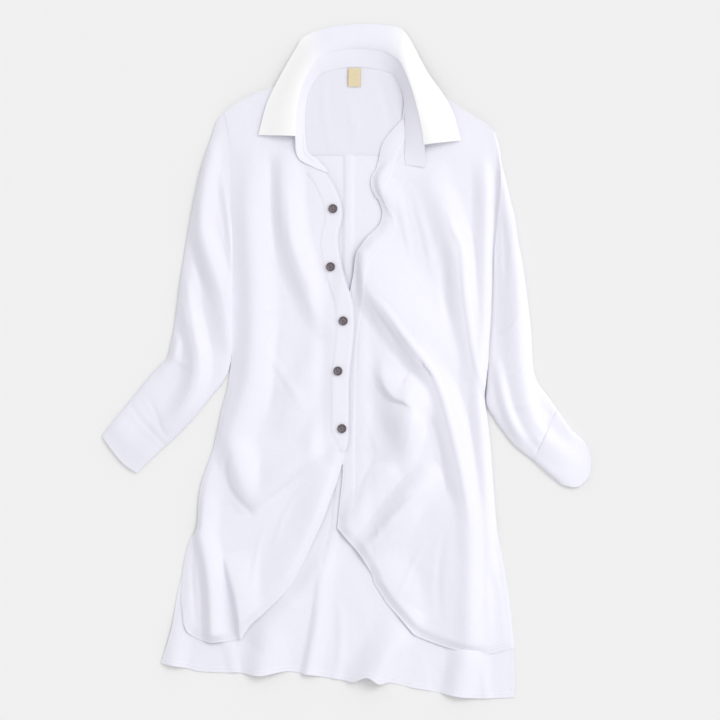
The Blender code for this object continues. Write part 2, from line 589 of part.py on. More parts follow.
def sleeve_height(folds):
    def height(x, y, down):
        shift_x, shift_y, fold_height = drape(folds, x, y)
        fade = smoothstep(0.0, 0.12, down)
        base = ARMHOLE_HEIGHT + (SLEEVE_HEIGHT - ARMHOLE_HEIGHT) * fade
        return x + shift_x * fade, y + shift_y * fade, base + fold_height * fade
    return height


def make_sleeves():
    """Each sleeve from its armhole to the cuff seam, and the cuff that goes on from there."""
    Side = namedtuple("Side", "name armhole_edge gap outer inner cuff_outer cuff_inner cuff_end folds")
    sides = (
        Side("left", BODY_WEST[:5], -ARMHOLE_GAP, SLEEVE_WEST_OUTER, SLEEVE_WEST_INNER,
             CUFF_WEST_OUTER, CUFF_WEST_INNER, CUFF_WEST_END, SLEEVE_WEST_FOLDS),
        Side("right", BODY_EAST[:4], ARMHOLE_GAP, SLEEVE_EAST_OUTER, SLEEVE_EAST_INNER,
             CUFF_EAST_OUTER, CUFF_EAST_INNER, CUFF_EAST_END, SLEEVE_EAST_FOLDS))
    for side in sides:
        outer, inner = smooth_curve(side.outer), smooth_curve(side.inner)
        armhole = smooth_curve([(x + side.gap, y) for x, y in side.armhole_edge])
        armhole[0], armhole[-1] = outer[0], inner[0]
        run = np.subtract(side.cuff_outer[-1], side.cuff_outer[0])
        beyond_seam = 2.0 * SEAM * run / np.linalg.norm(run)
        wrist = np.array([outer[-1], inner[-1]])
        cuff_start = wrist + beyond_seam
        cuff_outer = smooth_curve((tuple(cuff_start[0]),) + side.cuff_outer[1:])
        cuff_inner = smooth_curve((tuple(cuff_start[1]),) + side.cuff_inner[1:])
        cuff_end = smooth_curve(side.cuff_end)
        west_east, cuff_west_east = [outer, inner], [cuff_outer, cuff_inner]
        if side.name == "right":
            west_east.reverse()
            cuff_west_east.reverse()
            armhole, wrist = armhole[::-1], wrist[::-1]
            cuff_start, cuff_end = cuff_start[::-1], cuff_end[::-1]
        flat_tube("sleeve_" + side.name, *west_east, armhole, wrist, sleeve_height(side.folds),
                  LINEN, SLEEVE_ROWS)
        flat_tube("cuff_" + side.name, *cuff_west_east, cuff_start, cuff_end,
                  cuff_height(side.folds), CUFF_CLOTH, CUFF_ROWS)


def cuff_height(folds):
    def height(x, y, down):
        shift_x, shift_y, fold_height = drape(folds, x, y)
        return x + shift_x, y + shift_y, CUFF_HEIGHT + fold_height
    return height


def make_collar():
    seam = smooth_curve([station.seam for station in COLLAR], 2)
    roll = smooth_curve([station.roll for station in COLLAR], 2)
    share = even(BAND_COLUMNS)[None, :, None]
    band = (1 - share) * seam[:, None, :] + share * roll[:, None, :]
    band = band[:, ::-1]
    cloth("collar_band", band, COLLAR_CLOTH, falling_diagonals(band), grow=0.0)

    with_leaf = [station for station in COLLAR if station.edge]
    edge = smooth_curve([station.edge for station in with_leaf], 2)
    first = 2 * COLLAR.index(with_leaf[0])
    seam, roll = seam[first:first + len(edge)], roll[first:first + len(edge)]
    outward = edge[:, :2] - seam[:, :2]
    outward /= np.linalg.norm(outward, axis=1, keepdims=True)
    steepness = (roll[:, 2] - seam[:, 2]) / np.linalg.norm(roll - seam, axis=1)
    start = roll.copy()
    start[:, :2] += outward * (LEAF_GAP + LEAF_GAP_STEEP * steepness[:, None])
    share = np.array(LEAF_SHARES)[None, :, None]
    leaf = (1 - share) * start[:, None, :] + share * edge[:, None, :]
    leaf[..., 2] += LEAF_ARCH * LEAF_ARCH_SCALE * share[..., 0] * (1.0 - share[..., 0]) ** 2
    leaf = leaf[:, ::-1]
    cloth("collar_leaf", leaf, COLLAR_CLOTH, falling_diagonals(leaf), grow=0.0)


def button_mesh():
    """Turned button with a raised rim and four holes."""
    radius = BUTTON_DIAMETER / 2
    rounded = radius - BUTTON_ROUNDING
    dish = radius - BUTTON_RIM
    floor = BUTTON_THICKNESS - BUTTON_DISH
    profile = ((0.0, 0.0), (rounded, 0.0), (radius, BUTTON_ROUNDING),
               (radius, BUTTON_THICKNESS - BUTTON_ROUNDING), (rounded, BUTTON_THICKNESS),
               (dish, BUTTON_THICKNESS), (dish - BUTTON_DISH, floor), (0.0, floor))
    mesh = bmesh.new()
    verts = [mesh.verts.new((x * MM, 0.0, z * MM)) for x, z in profile]
    edges = [mesh.edges.new(pair) for pair in zip(verts, verts[1:])]
    bmesh.ops.spin(mesh, geom=verts + edges, cent=(0, 0, 0), axis=(0, 0, 1), angle=math.tau,
                   steps=BUTTON_SIDES, use_merge=True)
    bmesh.ops.remove_doubles(mesh, verts=mesh.verts, dist=1e-6)
    bmesh.ops.recalc_face_normals(mesh, faces=mesh.faces)
    disc = bpy.data.meshes.new("button_disc")
    mesh.to_mesh(disc)
    mesh.free()
    return disc


def make_button_master():
    """The drilled button's mesh, cut once and shared by all five."""
    blank = bpy.data.objects.new("button_blank", button_mesh())
    bpy.context.scene.collection.objects.link(blank)
    cutters = bpy.data.collections["cutters"]
    reach = BUTTON_HOLE_SPACING / math.sqrt(2) * MM
    for index in range(4):
        angle = math.pi / 4 + index * math.pi / 2
        bpy.ops.mesh.primitive_cylinder_add(vertices=6, radius=BUTTON_HOLE / 2 * MM,
                                            depth=4 * BUTTON_THICKNESS * MM)
        drill = bpy.context.active_object
        drill.name = "drill_%d" % (index + 1)
        drill.location = (reach * math.cos(angle), reach * math.sin(angle), 0.0)
        for owner in drill.users_collection:
            owner.objects.unlink(drill)
        cutters.objects.link(drill)
        drill.hide_render = True
        drill.display_type = "WIRE"
        cut = blank.modifiers.new("Drill", "BOOLEAN")
        cut.object = drill
        cut.operation = "DIFFERENCE"
    bpy.context.view_layer.update()
    evaluated = blank.evaluated_get(bpy.context.evaluated_depsgraph_get())
    drilled = bpy.data.meshes.new_from_object(evaluated)
    bpy.data.objects.remove(blank)
    return drilled


def points_under(piece, x, y):
    """Points of a piece's upper face under a button at x, y, as offsets from there and heights."""
    points = []
    for ring in BUTTON_RINGS:
        for step in range(BUTTON_SIDES):
            angle = math.tau * step / BUTTON_SIDES
            east = ring * BUTTON_DIAMETER / 2 * math.cos(angle)
            north = ring * BUTTON_DIAMETER / 2 * math.sin(angle)
            start = Vector((x + east, y + north, FEEL_FROM)) * MM
            _, place, _, _ = piece.ray_cast(start, Vector((0.0, 0.0, -1.0)))
            points.append((east, north, place.z / MM))
    return np.array(points)


def make_buttons():
    """The buttons, each lying on the placket's upper face and tilted with it."""
    master = make_button_master()
    bpy.context.view_layer.update()
    placket = bpy.data.objects["placket_left"].evaluated_get(bpy.context.evaluated_depsgraph_get())
    for number, (x, y) in enumerate(BUTTONS, start=1):
        under = points_under(placket, x, y)
        terms = np.column_stack([under[:, :2], np.ones(len(under))])
        slope_x, slope_y, height = np.linalg.lstsq(terms, under[:, 2], rcond=None)[0]
        highest = (under[:, 2] - terms @ (slope_x, slope_y, height)).max()
        normal = Vector((-slope_x, -slope_y, 1.0)).normalized()
        button = new_object("button_%d" % number, master.copy(), BUTTON_COLOUR, 0.35)
        button.location = (Vector((x, y, height)) + normal * (highest + BUTTON_SEAT)) * MM
        button.rotation_euler = (-math.asin(normal.y), math.asin(normal.x), BUTTON_TURN * number)


def make_label():
    x, y = LABEL_CORNER
    bpy.ops.mesh.primitive_cube_add(size=1.0)
    block = bpy.context.active_object
    mesh = block.data
    bpy.data.objects.remove(block)
    mesh.name = "neck_label"
    for vert in mesh.vertices:
        vert.co.x *= LABEL_WIDTH * MM
        vert.co.y *= LABEL_LENGTH * MM
        vert.co.z *= LABEL_CLOTH * MM
    label = new_object("neck_label", mesh, LABEL_COLOUR, 0.8)
    label.location = ((x + LABEL_WIDTH / 2) * MM, (y - LABEL_LENGTH / 2) * MM,
                      (YOKE_CLOTH + STRIP_GAP + LABEL_CLOTH / 2) * MM)


def main():
    for leftover in list(bpy.data.objects):
        bpy.data.objects.remove(leftover)
    for name in ("shirt_dress", "cutters"):
        bpy.context.scene.collection.children.link(bpy.data.collections.new(name))
    make_back()
    make_yoke()
    make_fronts()
    make_sleeves()
    make_collar()
    make_buttons()
    make_label()


main()
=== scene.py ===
"""Looks of a white linen shirt dress that lies flat on its back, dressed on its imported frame.

Tables are in millimetres, as in the frame: x to the viewer's right, y towards the collar, z up
from the surface that the dress lies on.  West is the viewer's left and east the viewer's right.
"""
import math
from collections import namedtuple

import bmesh
import bpy
import numpy as np
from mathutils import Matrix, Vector

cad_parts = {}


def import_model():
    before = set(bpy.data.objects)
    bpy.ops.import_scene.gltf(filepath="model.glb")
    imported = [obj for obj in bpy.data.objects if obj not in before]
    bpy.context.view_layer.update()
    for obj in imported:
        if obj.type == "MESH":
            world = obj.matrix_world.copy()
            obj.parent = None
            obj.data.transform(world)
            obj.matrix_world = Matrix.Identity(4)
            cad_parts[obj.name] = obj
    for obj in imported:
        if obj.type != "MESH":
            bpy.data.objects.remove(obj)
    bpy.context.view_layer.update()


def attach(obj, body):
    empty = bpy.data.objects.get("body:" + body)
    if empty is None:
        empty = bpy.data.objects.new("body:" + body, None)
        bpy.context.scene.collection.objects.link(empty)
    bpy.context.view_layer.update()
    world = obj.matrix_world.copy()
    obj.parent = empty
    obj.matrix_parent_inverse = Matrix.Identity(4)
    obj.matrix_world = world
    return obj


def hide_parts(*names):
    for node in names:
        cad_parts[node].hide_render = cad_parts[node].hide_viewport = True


MM = 0.001

# Cloth and gaps of the frame
LINEN = 1.4
YOKE_CLOTH = 2.4
PLACKET_CLOTH = 1.2
LAYER_GAP = 0.7
STRIP_GAP = 0.4

# How thick the same cloth looks
LINEN_LOOK = 0.9
STRIP_LOOK = 0.8
STRIP_HEM_LOOK = 0.12
STRIP_IN_FRONT = 0.3
STRIP_SUNK = 0.5
STRIP_TAPER = 46.0
COLLAR_LOOK = 1.7
CUFF_LOOK = 1.6
WEAVE_SPACING = 0.85
CELL = 2.7
SHARP_FROM = math.radians(42.0)

# Hems and seams
HEM_WIDTH = 6.5
HEM_RISE = 0.45
HEM_DROOP = 0.7
HEM_SINK = 1.3
HEM_DROOP_REACH = 15.0
STITCH_SINK = 0.30
PUCKER = 0.16
PUCKER_LENGTH = 8.5
SIDE_ROLL = 9.0
SIDE_SINK = 1.5
HEM_STITCH = 4.9
SEAM_STITCH = 2.0
COLLAR_STITCH = 5.0
COLLAR_STITCH_COLUMN = 6
THREAD_LIFT = 0.04
STRIP_STITCH = 2.0
YOKE_STITCH = 1.8
BAND_STITCH = 2.0
GROOVE = 0.9
LINE_STEP = 1.5

# Height that rays are cast down from
FEEL_FROM = 60.0

# Steps in from an edge that needs a finer mesh
HEM_STEPS = (0.0, 0.7, 1.7, 3.2, 4.3, 4.9, 5.5, 6.2, 6.9, 7.9, 9.6, 12.0)
STRIP_STEPS = (0.0, 0.6, 1.3, 2.0, 2.7, 3.6, 5.4, 8.0, 11.0, 14.0, 17.0, 20.0, 22.6, 24.4, 25.3,
               26.0, 26.7, 27.4, 28.0)
TUBE_STEPS = (0.0, 0.5, 1.2, 2.2, 3.6, 5.5, 8.0)
YOKE_STEPS = (0.0, 0.8, 1.6, 2.4, 3.4, 5.0, 7.0)
TAB_STEPS = (0.0, 0.3, 0.8)

PLACKET_WIDTH = 28.0
PLACKET_END_WEST_Y = -142.0
PLACKET_END_EAST_Y = -236.0
BUTTON_DIAMETER = 13.5
BUTTON_THICKNESS = 2.8
BUTTON_HOLE = 1.8
BUTTON_HOLE_SPACING = 3.3
BUTTON_SEAT = 0.3
LABEL_WIDTH = 19.0
LABEL_LENGTH = 28.0
LABEL_CORNER = (3.0, 439.0)

# Heights of the layers over the floor
FRONT_BASE = LINEN + LAYER_GAP
OVER_YOKE = YOKE_CLOTH - LINEN
LAP_LIFT = LINEN + STRIP_GAP + PLACKET_CLOTH
SLEEVE_HEIGHT = 8.0
SEAM_STEP = 0.15
WRIST_DRAW = 0.9
CUFF_STEP = 0.3
CUFF_OVERLAP = 0.9
Rounded = namedtuple("Rounded", "reach share")
OUTER_EDGE = Rounded(24.0, 0.24)
INNER_EDGE = Rounded(14.0, 0.26)
SNUG_EDGE = Rounded(15.0, 0.32)
CUFF_EDGE = Rounded(16.0, 0.34)
CUFF_END_DROOP = 0.4

YOKE_SEAM_Y = 309.0
SLIT_TOP_Y = -285.0
ARM_LEAVES_WEST = (-12.0, 22.0)
ARM_LEAVES_EAST = (-72.0, -40.0)
YOKE_EDGE = (290.0, 318.0)
PLEAT_RISE = 2.0
PLEAT_SHADOW_WEST = (-80.0, -30.0)
PLEAT_SHADOW_EAST = (18.0, 40.0)
MAX_SPARE = 1.5
STRIP_STIFFNESS = 0.65
STRIP_FROM_X = (-54.0, -30.0)
STRIP_FROM_Y = (-170.0, -130.0)
LAP_APPROACH = (34.0, 12.0)
LAP_ENDS_Y = (130.0, 160.0)
LAP_SMOOTH_X = (12.0, 30.0)

# Colours, as light: darkest and lightest of each pattern
LINEN_SHADES = ((0.775, 0.77, 0.855), (0.885, 0.88, 0.96))
# Paler, more neutral white of the collar's leaves: partly the doubled cloth, partly painted light
WHITER_AND_LIT_SHADES = ((0.87, 0.87, 0.88, 1.0), (0.97, 0.97, 0.975, 1.0))
RESIN_SHADES = ((0.030, 0.020, 0.026, 1.0), (0.17, 0.125, 0.145, 1.0))
# Painted sheen in the buttons' dish
PAINTED_SHEEN_SHADES = ((0.16, 0.13, 0.15, 1.0), (0.46, 0.42, 0.45, 1.0))
TAPE_SHADES = ((0.70, 0.57, 0.34, 1.0), (0.88, 0.78, 0.55, 1.0))
SELVEDGE_SHADE = (0.58, 0.45, 0.26, 1.0)
FLOOR_SHADES = ((0.908, 0.908, 0.908, 1.0), (0.916, 0.916, 0.916, 1.0))

# Light, picture and floor
FLOOR_SIZE = 7.0
FLOOR_DROP = 0.0002
PANEL_SIZE = 1.2
SIDE_LIGHT_AT = (0.15, 0.0, 0.0)
LENS = 100.0
SENSOR = 36.0
ROOM_LIGHT = 0.772
WINDOW_LIGHT = 0.82
WINDOW_SOFTNESS = 30.0
WINDOW_FROM = (1.7, 1.9, 2.6)
SIDE_LIGHT = 5.4
SIDE_LIGHT_FROM = (1.3, 0.2, 0.9)
PICTURE_CENTRE = (21.0, 1.5)
PICTURE_WIDTH = 1080.0

# Outlines, each from the collar down or from west to east: x, y
SHOULDER_WEST = ((-182, 371), (-165, 385), (-145, 396), (-120, 406), (-95, 414), (-54, 420))
SHOULDER_EAST = ((93, 420), (125, 405), (150, 392), (180, 374), (205, 358), (221, 345))
BACK_NECK = ((-54, 420), (-42, 433), (-20, 442), (15, 445), (50, 442), (75, 434), (93, 420))

BODY_WEST = (
    (-182, 371), (-176, 340), (-173, 309), (-171, 240), (-170, 185), (-170, 120), (-170, 60),
    (-171, 10), (-174, -20), (-178, -45), (-186, -75), (-191, -100), (-198, -130), (-207, -157),
    (-215, -180), (-220, -205), (-222, -249))
BODY_EAST = (
    (221, 345), (224, 309), (223, 240), (222, 180), (221, 120), (218, 60), (213, 0), (208, -55),
    (212, -90), (216, -130), (220, -180), (223, -220), (227, -260), (233, -290), (240, -330),
    (247, -380), (252, -430))

BACK_TAIL_WEST = (
    (-236, -290), (-247, -325), (-253, -350), (-260, -395), (-268, -425), (-277, -453))
BACK_TAIL_EAST = ((254, -470), (253, -504))
BACK_HEM = (
    (-277, -453), (-240, -460), (-220, -465), (-185, -467), (-160, -467), (-130, -471),
    (-105, -467), (-85, -465), (-60, -469), (-30, -474), (0, -479), (12, -480), (32, -473),
    (50, -483), (66, -482), (100, -490), (130, -495), (160, -501), (190, -505), (220, -505.5),
    (253, -504))

FRONT_TAIL_WEST = ((-234, -269), (-242, -299), (-246, -330), (-247, -360), (-243, -393))
FRONT_HEM_WEST = ((-243, -393), (-236, -408), (-211, -420), (-189, -421), (-153, -416))
FRONT_NECK_WEST = (
    (-54, 420), (-60, 404), (-63.5, 372), (-63.5, 338), (-60, 311), (-47, 300), (-33, 285))
FRONT_EDGE_WEST = (
    (-33, 285), (-26, 277), (-16, 260), (-8, 240), (-5, 218), (-11, 190), (-10, 165), (-5, 140),
    (1, 118), (10, 90), (13, 60), (12, 38), (8, 0), (5, -30), (5, -75), (5, -110), (2, -130),
    (-5, -152), (-13, -180), (-22, -205), (-35, -240), (-50, -272), (-62, -299), (-80, -332),
    (-101, -357), (-126, -381), (-141, -396), (-153, -416))

FRONT_NECK_EAST = ((93, 420), (89, 395), (84, 362))
FRONT_EDGE_EAST = (
    (84, 362), (70, 346), (60, 334), (53, 320), (50, 305), (46, 290), (39, 278), (37, 264),
    (42, 250), (50, 238), (55, 222), (52, 207), (45, 197), (35, 187), (25, 173), (18, 163),
    (14, 150), (12, 135), (7, 110), (2, 80), (-2, 50), (-4, 0), (-5, -60), (-6, -120),
    (-5, -170), (-8, -200), (-11, -230), (-13, -250))
LAP_EDGE_X = tuple(x for x, y in reversed(FRONT_EDGE_EAST) if y < 165)
LAP_EDGE_Y = tuple(y for x, y in reversed(FRONT_EDGE_EAST) if y < 165)
FRONT_HEM_EAST = (
    (-13, -250), (0, -266), (10, -277), (20, -289), (32, -308), (40, -322), (42, -332),
    (52, -348), (62, -364), (80, -384), (95, -402), (106, -412), (140, -425), (172, -434),
    (210, -439), (252, -430))

# Sleeves: outer edge from the shoulder to the cuff seam, inner edge from the underarm to it
SLEEVE_WEST_OUTER = (
    (-182.8, 371.6), (-195, 358), (-202, 335), (-210, 309), (-220, 270), (-230, 227), (-239, 182),
    (-246, 137), (-252, 92), (-258, 50), (-263, 25), (-268, 5), (-277, -5), (-290, -18),
    (-312, -45), (-334, -72))
SLEEVE_WEST_INNER = (
    (-170.2, 184), (-169.7, 120), (-169.7, 60), (-170.9, 10), (-180, -24), (-200, -50), (-220, -75),
    (-240, -98), (-260, -118), (-277, -133))
SLEEVE_EAST_OUTER = (
    (221.8, 345.6), (230, 322), (234, 295), (240, 270), (247, 240), (253, 215), (258, 180),
    (264, 150), (270, 110), (275, 70), (278, 40), (280, 0), (283, -20), (290, -36), (300, -49),
    (317, -73))
SLEEVE_EAST_INNER = (
    (222.2, 180), (220.7, 120), (217.7, 60), (212.7, 0), (209.5, -58), (222, -86), (236, -106),
    (250, -124), (265, -137), (282, -150))
CUFF_WEST_OUTER = ((-334, -72), (-350, -91), (-366, -111))
CUFF_WEST_INNER = ((-277, -133), (-295, -150), (-313, -168))
CUFF_WEST_END = ((-366, -111), (-352, -131), (-334, -153), (-313, -168))
CUFF_EAST_OUTER = ((317, -73), (325, -85), (337, -102), (354, -117))
CUFF_EAST_INNER = ((282, -150), (300, -166), (320, -184))
CUFF_EAST_END = ((354, -117), (363, -132), (367, -150), (365, -168), (357, -181), (343, -189), (320, -184))

# Collar, from the western front end round the back to the eastern one
Collar = namedtuple("Collar", "seam roll edge")
COLLAR = (
    Collar((-31, 289, 4.6), (-26, 281, 6.4), None),
    Collar((-45, 304, 3.0), (-50, 291, 6.8), None),
    Collar((-58, 314, 2.2), (-72, 305, 8.2), None),
    Collar((-62, 338, 1.9), (-76, 336, 12.0), (-131, 338, 7.5)),
    Collar((-62, 372, 1.9), (-75, 374, 13.5), (-118, 386, 7.8)),
    Collar((-57, 402, 1.9), (-66, 412, 14.0), (-98, 427, 7.5)),
    Collar((-42, 427, 1.7), (-50, 443, 13.0), (-76, 466, 4.5)),
    Collar((-31, 433, 1.7), (-38, 455, 11.0), (-64, 485, 2.5)),
    Collar((-14, 438, 1.7), (-20, 464, 8.0), (-34, 498, 1.6)),
    Collar((15, 441, 1.7), (15, 469, 5.5), (20, 505.5, 1.6)),
    Collar((46, 438, 1.7), (50, 466, 7.5), (58, 503.5, 1.6)),
    Collar((61, 434, 1.7), (68, 458, 11.0), (78, 500, 2.0)),
    Collar((73, 427, 2.0), (82, 446, 16.0), (93, 486, 4.0)),
    Collar((85, 402, 2.8), (97, 412, 20.0), (122, 432, 7.5)),
    Collar((88, 376, 5.0), (106, 381, 20.0), (144, 401, 8.5)),
    Collar((89, 348, 6.0), (113, 351, 18.5), (161, 370, 9.0)),
    Collar((89, 322, 6.0), (117, 323, 14.5), (172, 330, 8.5)),
    Collar((88, 306, 5.6), (118, 304, 9.5), None),
    Collar((90, 294, 5.2), (119, 290, 6.0), None))
LEAF_OVERLAP = 0.9
# Painted light on the collar leaves: their middle in x, and the distances from it where the paler colour
# starts and is full
COLLAR_PAINTED_LIGHT = (15.0, 42.0, 84.0)
LEAF_ARCH = 3.0
LEAF_ARCH_SCALE = 6.75
COLLAR_SPAN = 12
BAND_LENGTH = 30.0
BAND_BOW = 0.72

BUTTONS = ((-19.5, 228), (-23, 141), (-4, 60), (-12, -15), (-6, -101))

# Folds, each from its upper end down.  A fold falls away over `west` millimetres on the
# viewer's left and `east` on the right, and its crest leans to the west by `lean`.
# Each crest point is x, y, height.
Fold = namedtuple("Fold", "name west east lean crest")

BACK_FOLDS = (
    Fold("corner roll", 22, 26, 0, ((-232, -345, 0), (-250, -400, 4), (-262, -470, 8))),
    Fold("tail roll", 34, 46, 0, (
        (-70, -345, 0), (-104, -392, 4), (-120, -430, 9), (-130, -485, 12))),
    Fold("pleat end", 10, 26, 0, ((-36, -290, 0), (-40, -345, 3), (-46, -400, 5), (-62, -480, 7))),
    Fold("hem fold", 46, 26, 0, (
        (108, -372, 0), (92, -398, 5), (76, -420, 12), (56, -448, 17), (34, -492, 20))),
    Fold("east ripple", 24, 34, 0, ((178, -420, 0), (168, -450, 4), (160, -515, 7))))

WEST_FOLDS = (
    Fold("side fold", 34, 38, 2, (
        (-134, 335, 0), (-141, 270, 6), (-143, 220, 9), (-139, 150, 10), (-136, 60, 11),
        (-140, -10, 12), (-147, -45, 12), (-158, -80, 11), (-168, -112, 11), (-163, -145, 12),
        (-152, -180, 12), (-141, -206, 8), (-134, -224, 0))),
    Fold("breast fold", 34, 30, 4, (
        (-92, 320, 0), (-88, 285, 7), (-86, 230, 10), (-79, 182, 11), (-64, 132, 11),
        (-46, 90, 8), (-24, 57, 5), (-10, 36, 0))),
    Fold("waist wave", 34, 40, 0, (
        (-22, 22, 0), (-46, -2, 4), (-72, -40, 6), (-86, -85, 4), (-96, -120, 0))),
    Fold("sling", 50, 15, 2, (
        (2, -96, 2), (-26, -120, 8), (-56, -146, 10), (-86, -168, 11), (-112, -192, 10),
        (-132, -212, 7), (-146, -228, 0))),
    Fold("tail side roll", 20, 26, 2, (
        (-200, -150, 0), (-210, -215, 5), (-214, -258, 9), (-206, -300, 12), (-200, -345, 14),
        (-198, -390, 14), (-197, -440, 14))),
    Fold("tail lap", 12, 54, 4, (
        (-180, -290, 0), (-172, -315, 7), (-162, -350, 11), (-156, -385, 12), (-152, -430, 11))),
    Fold("hem edge roll", 48, 17, 0, (
        (-18, -150, 2), (-34, -200, 6), (-54, -250, 7), (-78, -300, 7), (-106, -344, 6),
        (-134, -376, 3))))

EAST_FOLDS = (
    Fold("edge bulge", 10, 34, 2, (
        (74, 300, 1), (54, 282, 4), (52, 262, 5), (60, 240, 4), (66, 222, 2))),
    Fold("long fold", 38, 84, 5, (
        (34, 196, 3), (29, 172, 7), (30, 142, 10), (46, 100, 13), (72, 66, 14), (97, 34, 13),
        (113, 8, 10))),
    Fold("long fold, lower", 34, 34, 1, (
        (88, 44, 4), (101, 27, 9), (121, -5, 12), (141, -48, 11), (153, -85, 11), (162, -120, 11),
        (172, -165, 12), (180, -205, 12), (184, -260, 12), (184, -330, 12), (182, -385, 11),
        (182, -460, 8))),
    Fold("long fold, inner face", 92, 30, 0, (
        (176, -180, 0), (182, -230, 8), (184, -300, 11), (183, -380, 11), (180, -440, 6))),
    Fold("long fold, outer face", 30, 38, 0, (
        (186, -180, 0), (192, -230, 7), (192, -330, 9), (190, -420, 6), (188, -470, 4))),
    Fold("breast fold", 38, 30, 3, (
        (128, 300, 0), (138, 255, 5), (156, 205, 8), (169, 160, 9), (177, 110, 10), (185, 50, 9),
        (193, 0, 7), (200, -50, 4), (202, -100, 0))),
    Fold("side roll", 22, 14, 0, (
        (205, 310, 0), (209, 260, 6), (208, 160, 6), (205, 60, 6), (200, 0, 6), (198, -50, 6),
        (204, -130, 6), (209, -220, 6), (215, -300, 4), (222, -350, 0))),
    Fold("hook", 20, 46, 6, (
        (64, 16, 0), (58, -6, 3), (60, -28, 8), (74, -48, 14), (92, -55, 17), (106, -66, 13),
        (116, -84, 6), (122, -100, 0))),
    Fold("pocket wall", 66, 24, 6, (
        (122, -20, 0), (112, -48, 9), (105, -72, 19), (101, -92, 22), (96, -116, 17), (86, -144, 7),
        (76, -168, 0))),
    Fold("upper drape", 27, 26, 0, (
        (90, -140, 0), (66, -163, 5), (42, -188, 7), (22, -218, 7), (0, -258, 5))),
    Fold("lower drape", 26, 40, 0, (
        (142, -160, 0), (120, -178, 8), (98, -199, 12), (80, -223, 13), (60, -248, 12),
        (36, -274, 8), (16, -296, 4))),
    Fold("hem edge roll", 14, 60, 0, (
        (30, -290, 2), (56, -330, 5), (86, -370, 5), (116, -398, 4), (150, -414, 2))))

SLEEVE_WEST_FOLDS = (
    Fold("upper arm fold", 34, 22, 3, (
        (-190, 340, 0), (-205, 300, 8), (-212, 250, 12), (-213, 200, 13), (-204, 165, 13),
        (-194, 132, 12), (-184, 95, 9), (-180, 50, 6), (-178, 10, 0))),
    Fold("forearm fold", 30, 22, 3, (
        (-232, 150, 0), (-236, 110, 6), (-234, 75, 9), (-226, 45, 11), (-220, 10, 12),
        (-221, -22, 12), (-230, -52, 12), (-245, -78, 10), (-262, -96, 7), (-290, -120, 3),
        (-310, -140, 0))),
    Fold("elbow knuckle", 12, 14, 0, ((-252, 44, 0), (-254, 20, 6), (-262, 2, 5), (-284, -22, 0))))

SLEEVE_EAST_FOLDS = (
    Fold("outer fold", 34, 22, 0, (
        (236, 300, 0), (246, 240, 5), (253, 190, 7), (256, 110, 8), (257, 40, 8), (262, -20, 8),
        (272, -68, 8), (288, -104, 7), (308, -126, 5), (334, -146, 2), (350, -158, 0))),
    Fold("inner fold", 14, 16, 0, (
        (226, 10, 0), (231, -30, 5), (240, -70, 7), (256, -104, 6), (280, -132, 0))))

# Creases: small soft ridges, or troughs where the height is below zero.  Each point is x, y, height.
Crease = namedtuple("Crease", "west east crest")

WEST_CREASES = (
    Crease(12, 16, ((-112, 318, 0), (-110, 270, -1.8), (-108, 215, -2.0), (-104, 150, 0))),
    Crease(7, 9, ((-86, 262, 0), (-82, 225, 1.0), (-78, 184, 1.2), (-64, 140, 1.0), (-44, 96, 0))),
    Crease(9, 12, ((-40, 120, 0), (-66, 92, 0.8), (-98, 78, 0.9), (-128, 74, 0))),
    Crease(8, 12, ((-128, 20, 0), (-104, -8, 0.9), (-78, -48, 0.9), (-60, -80, 0))),
    Crease(6, 9, ((-30, -40, 0), (-52, -66, 0.7), (-84, -84, 0.7), (-118, -92, 0))),
    Crease(9, 8, ((-168, -128, 0), (-180, -158, -1.8), (-172, -192, -2.2), (-150, -218, -1.6),
                  (-136, -232, 0))),
    Crease(6, 6, ((-146, -232, 0), (-124, -214, -1.4), (-98, -194, -1.5), (-62, -172, -1.3), (-24, -148, 0))),
    Crease(6, 8, ((-60, -190, 0), (-84, -215, 0.9), (-100, -252, 0.9), (-112, -290, 0))),
    Crease(6, 8, ((-120, -246, 0), (-132, -280, 0.9), (-138, -316, 0.9), (-140, -350, 0))),
    Crease(7, 6, ((-226, -262, 0), (-230, -310, -1.6), (-228, -360, -1.4), (-224, -400, 0))),
    Crease(10, 12, ((-96, 62, 0), (-108, 20, -1.0), (-112, -40, -1.1), (-118, -92, 0))))

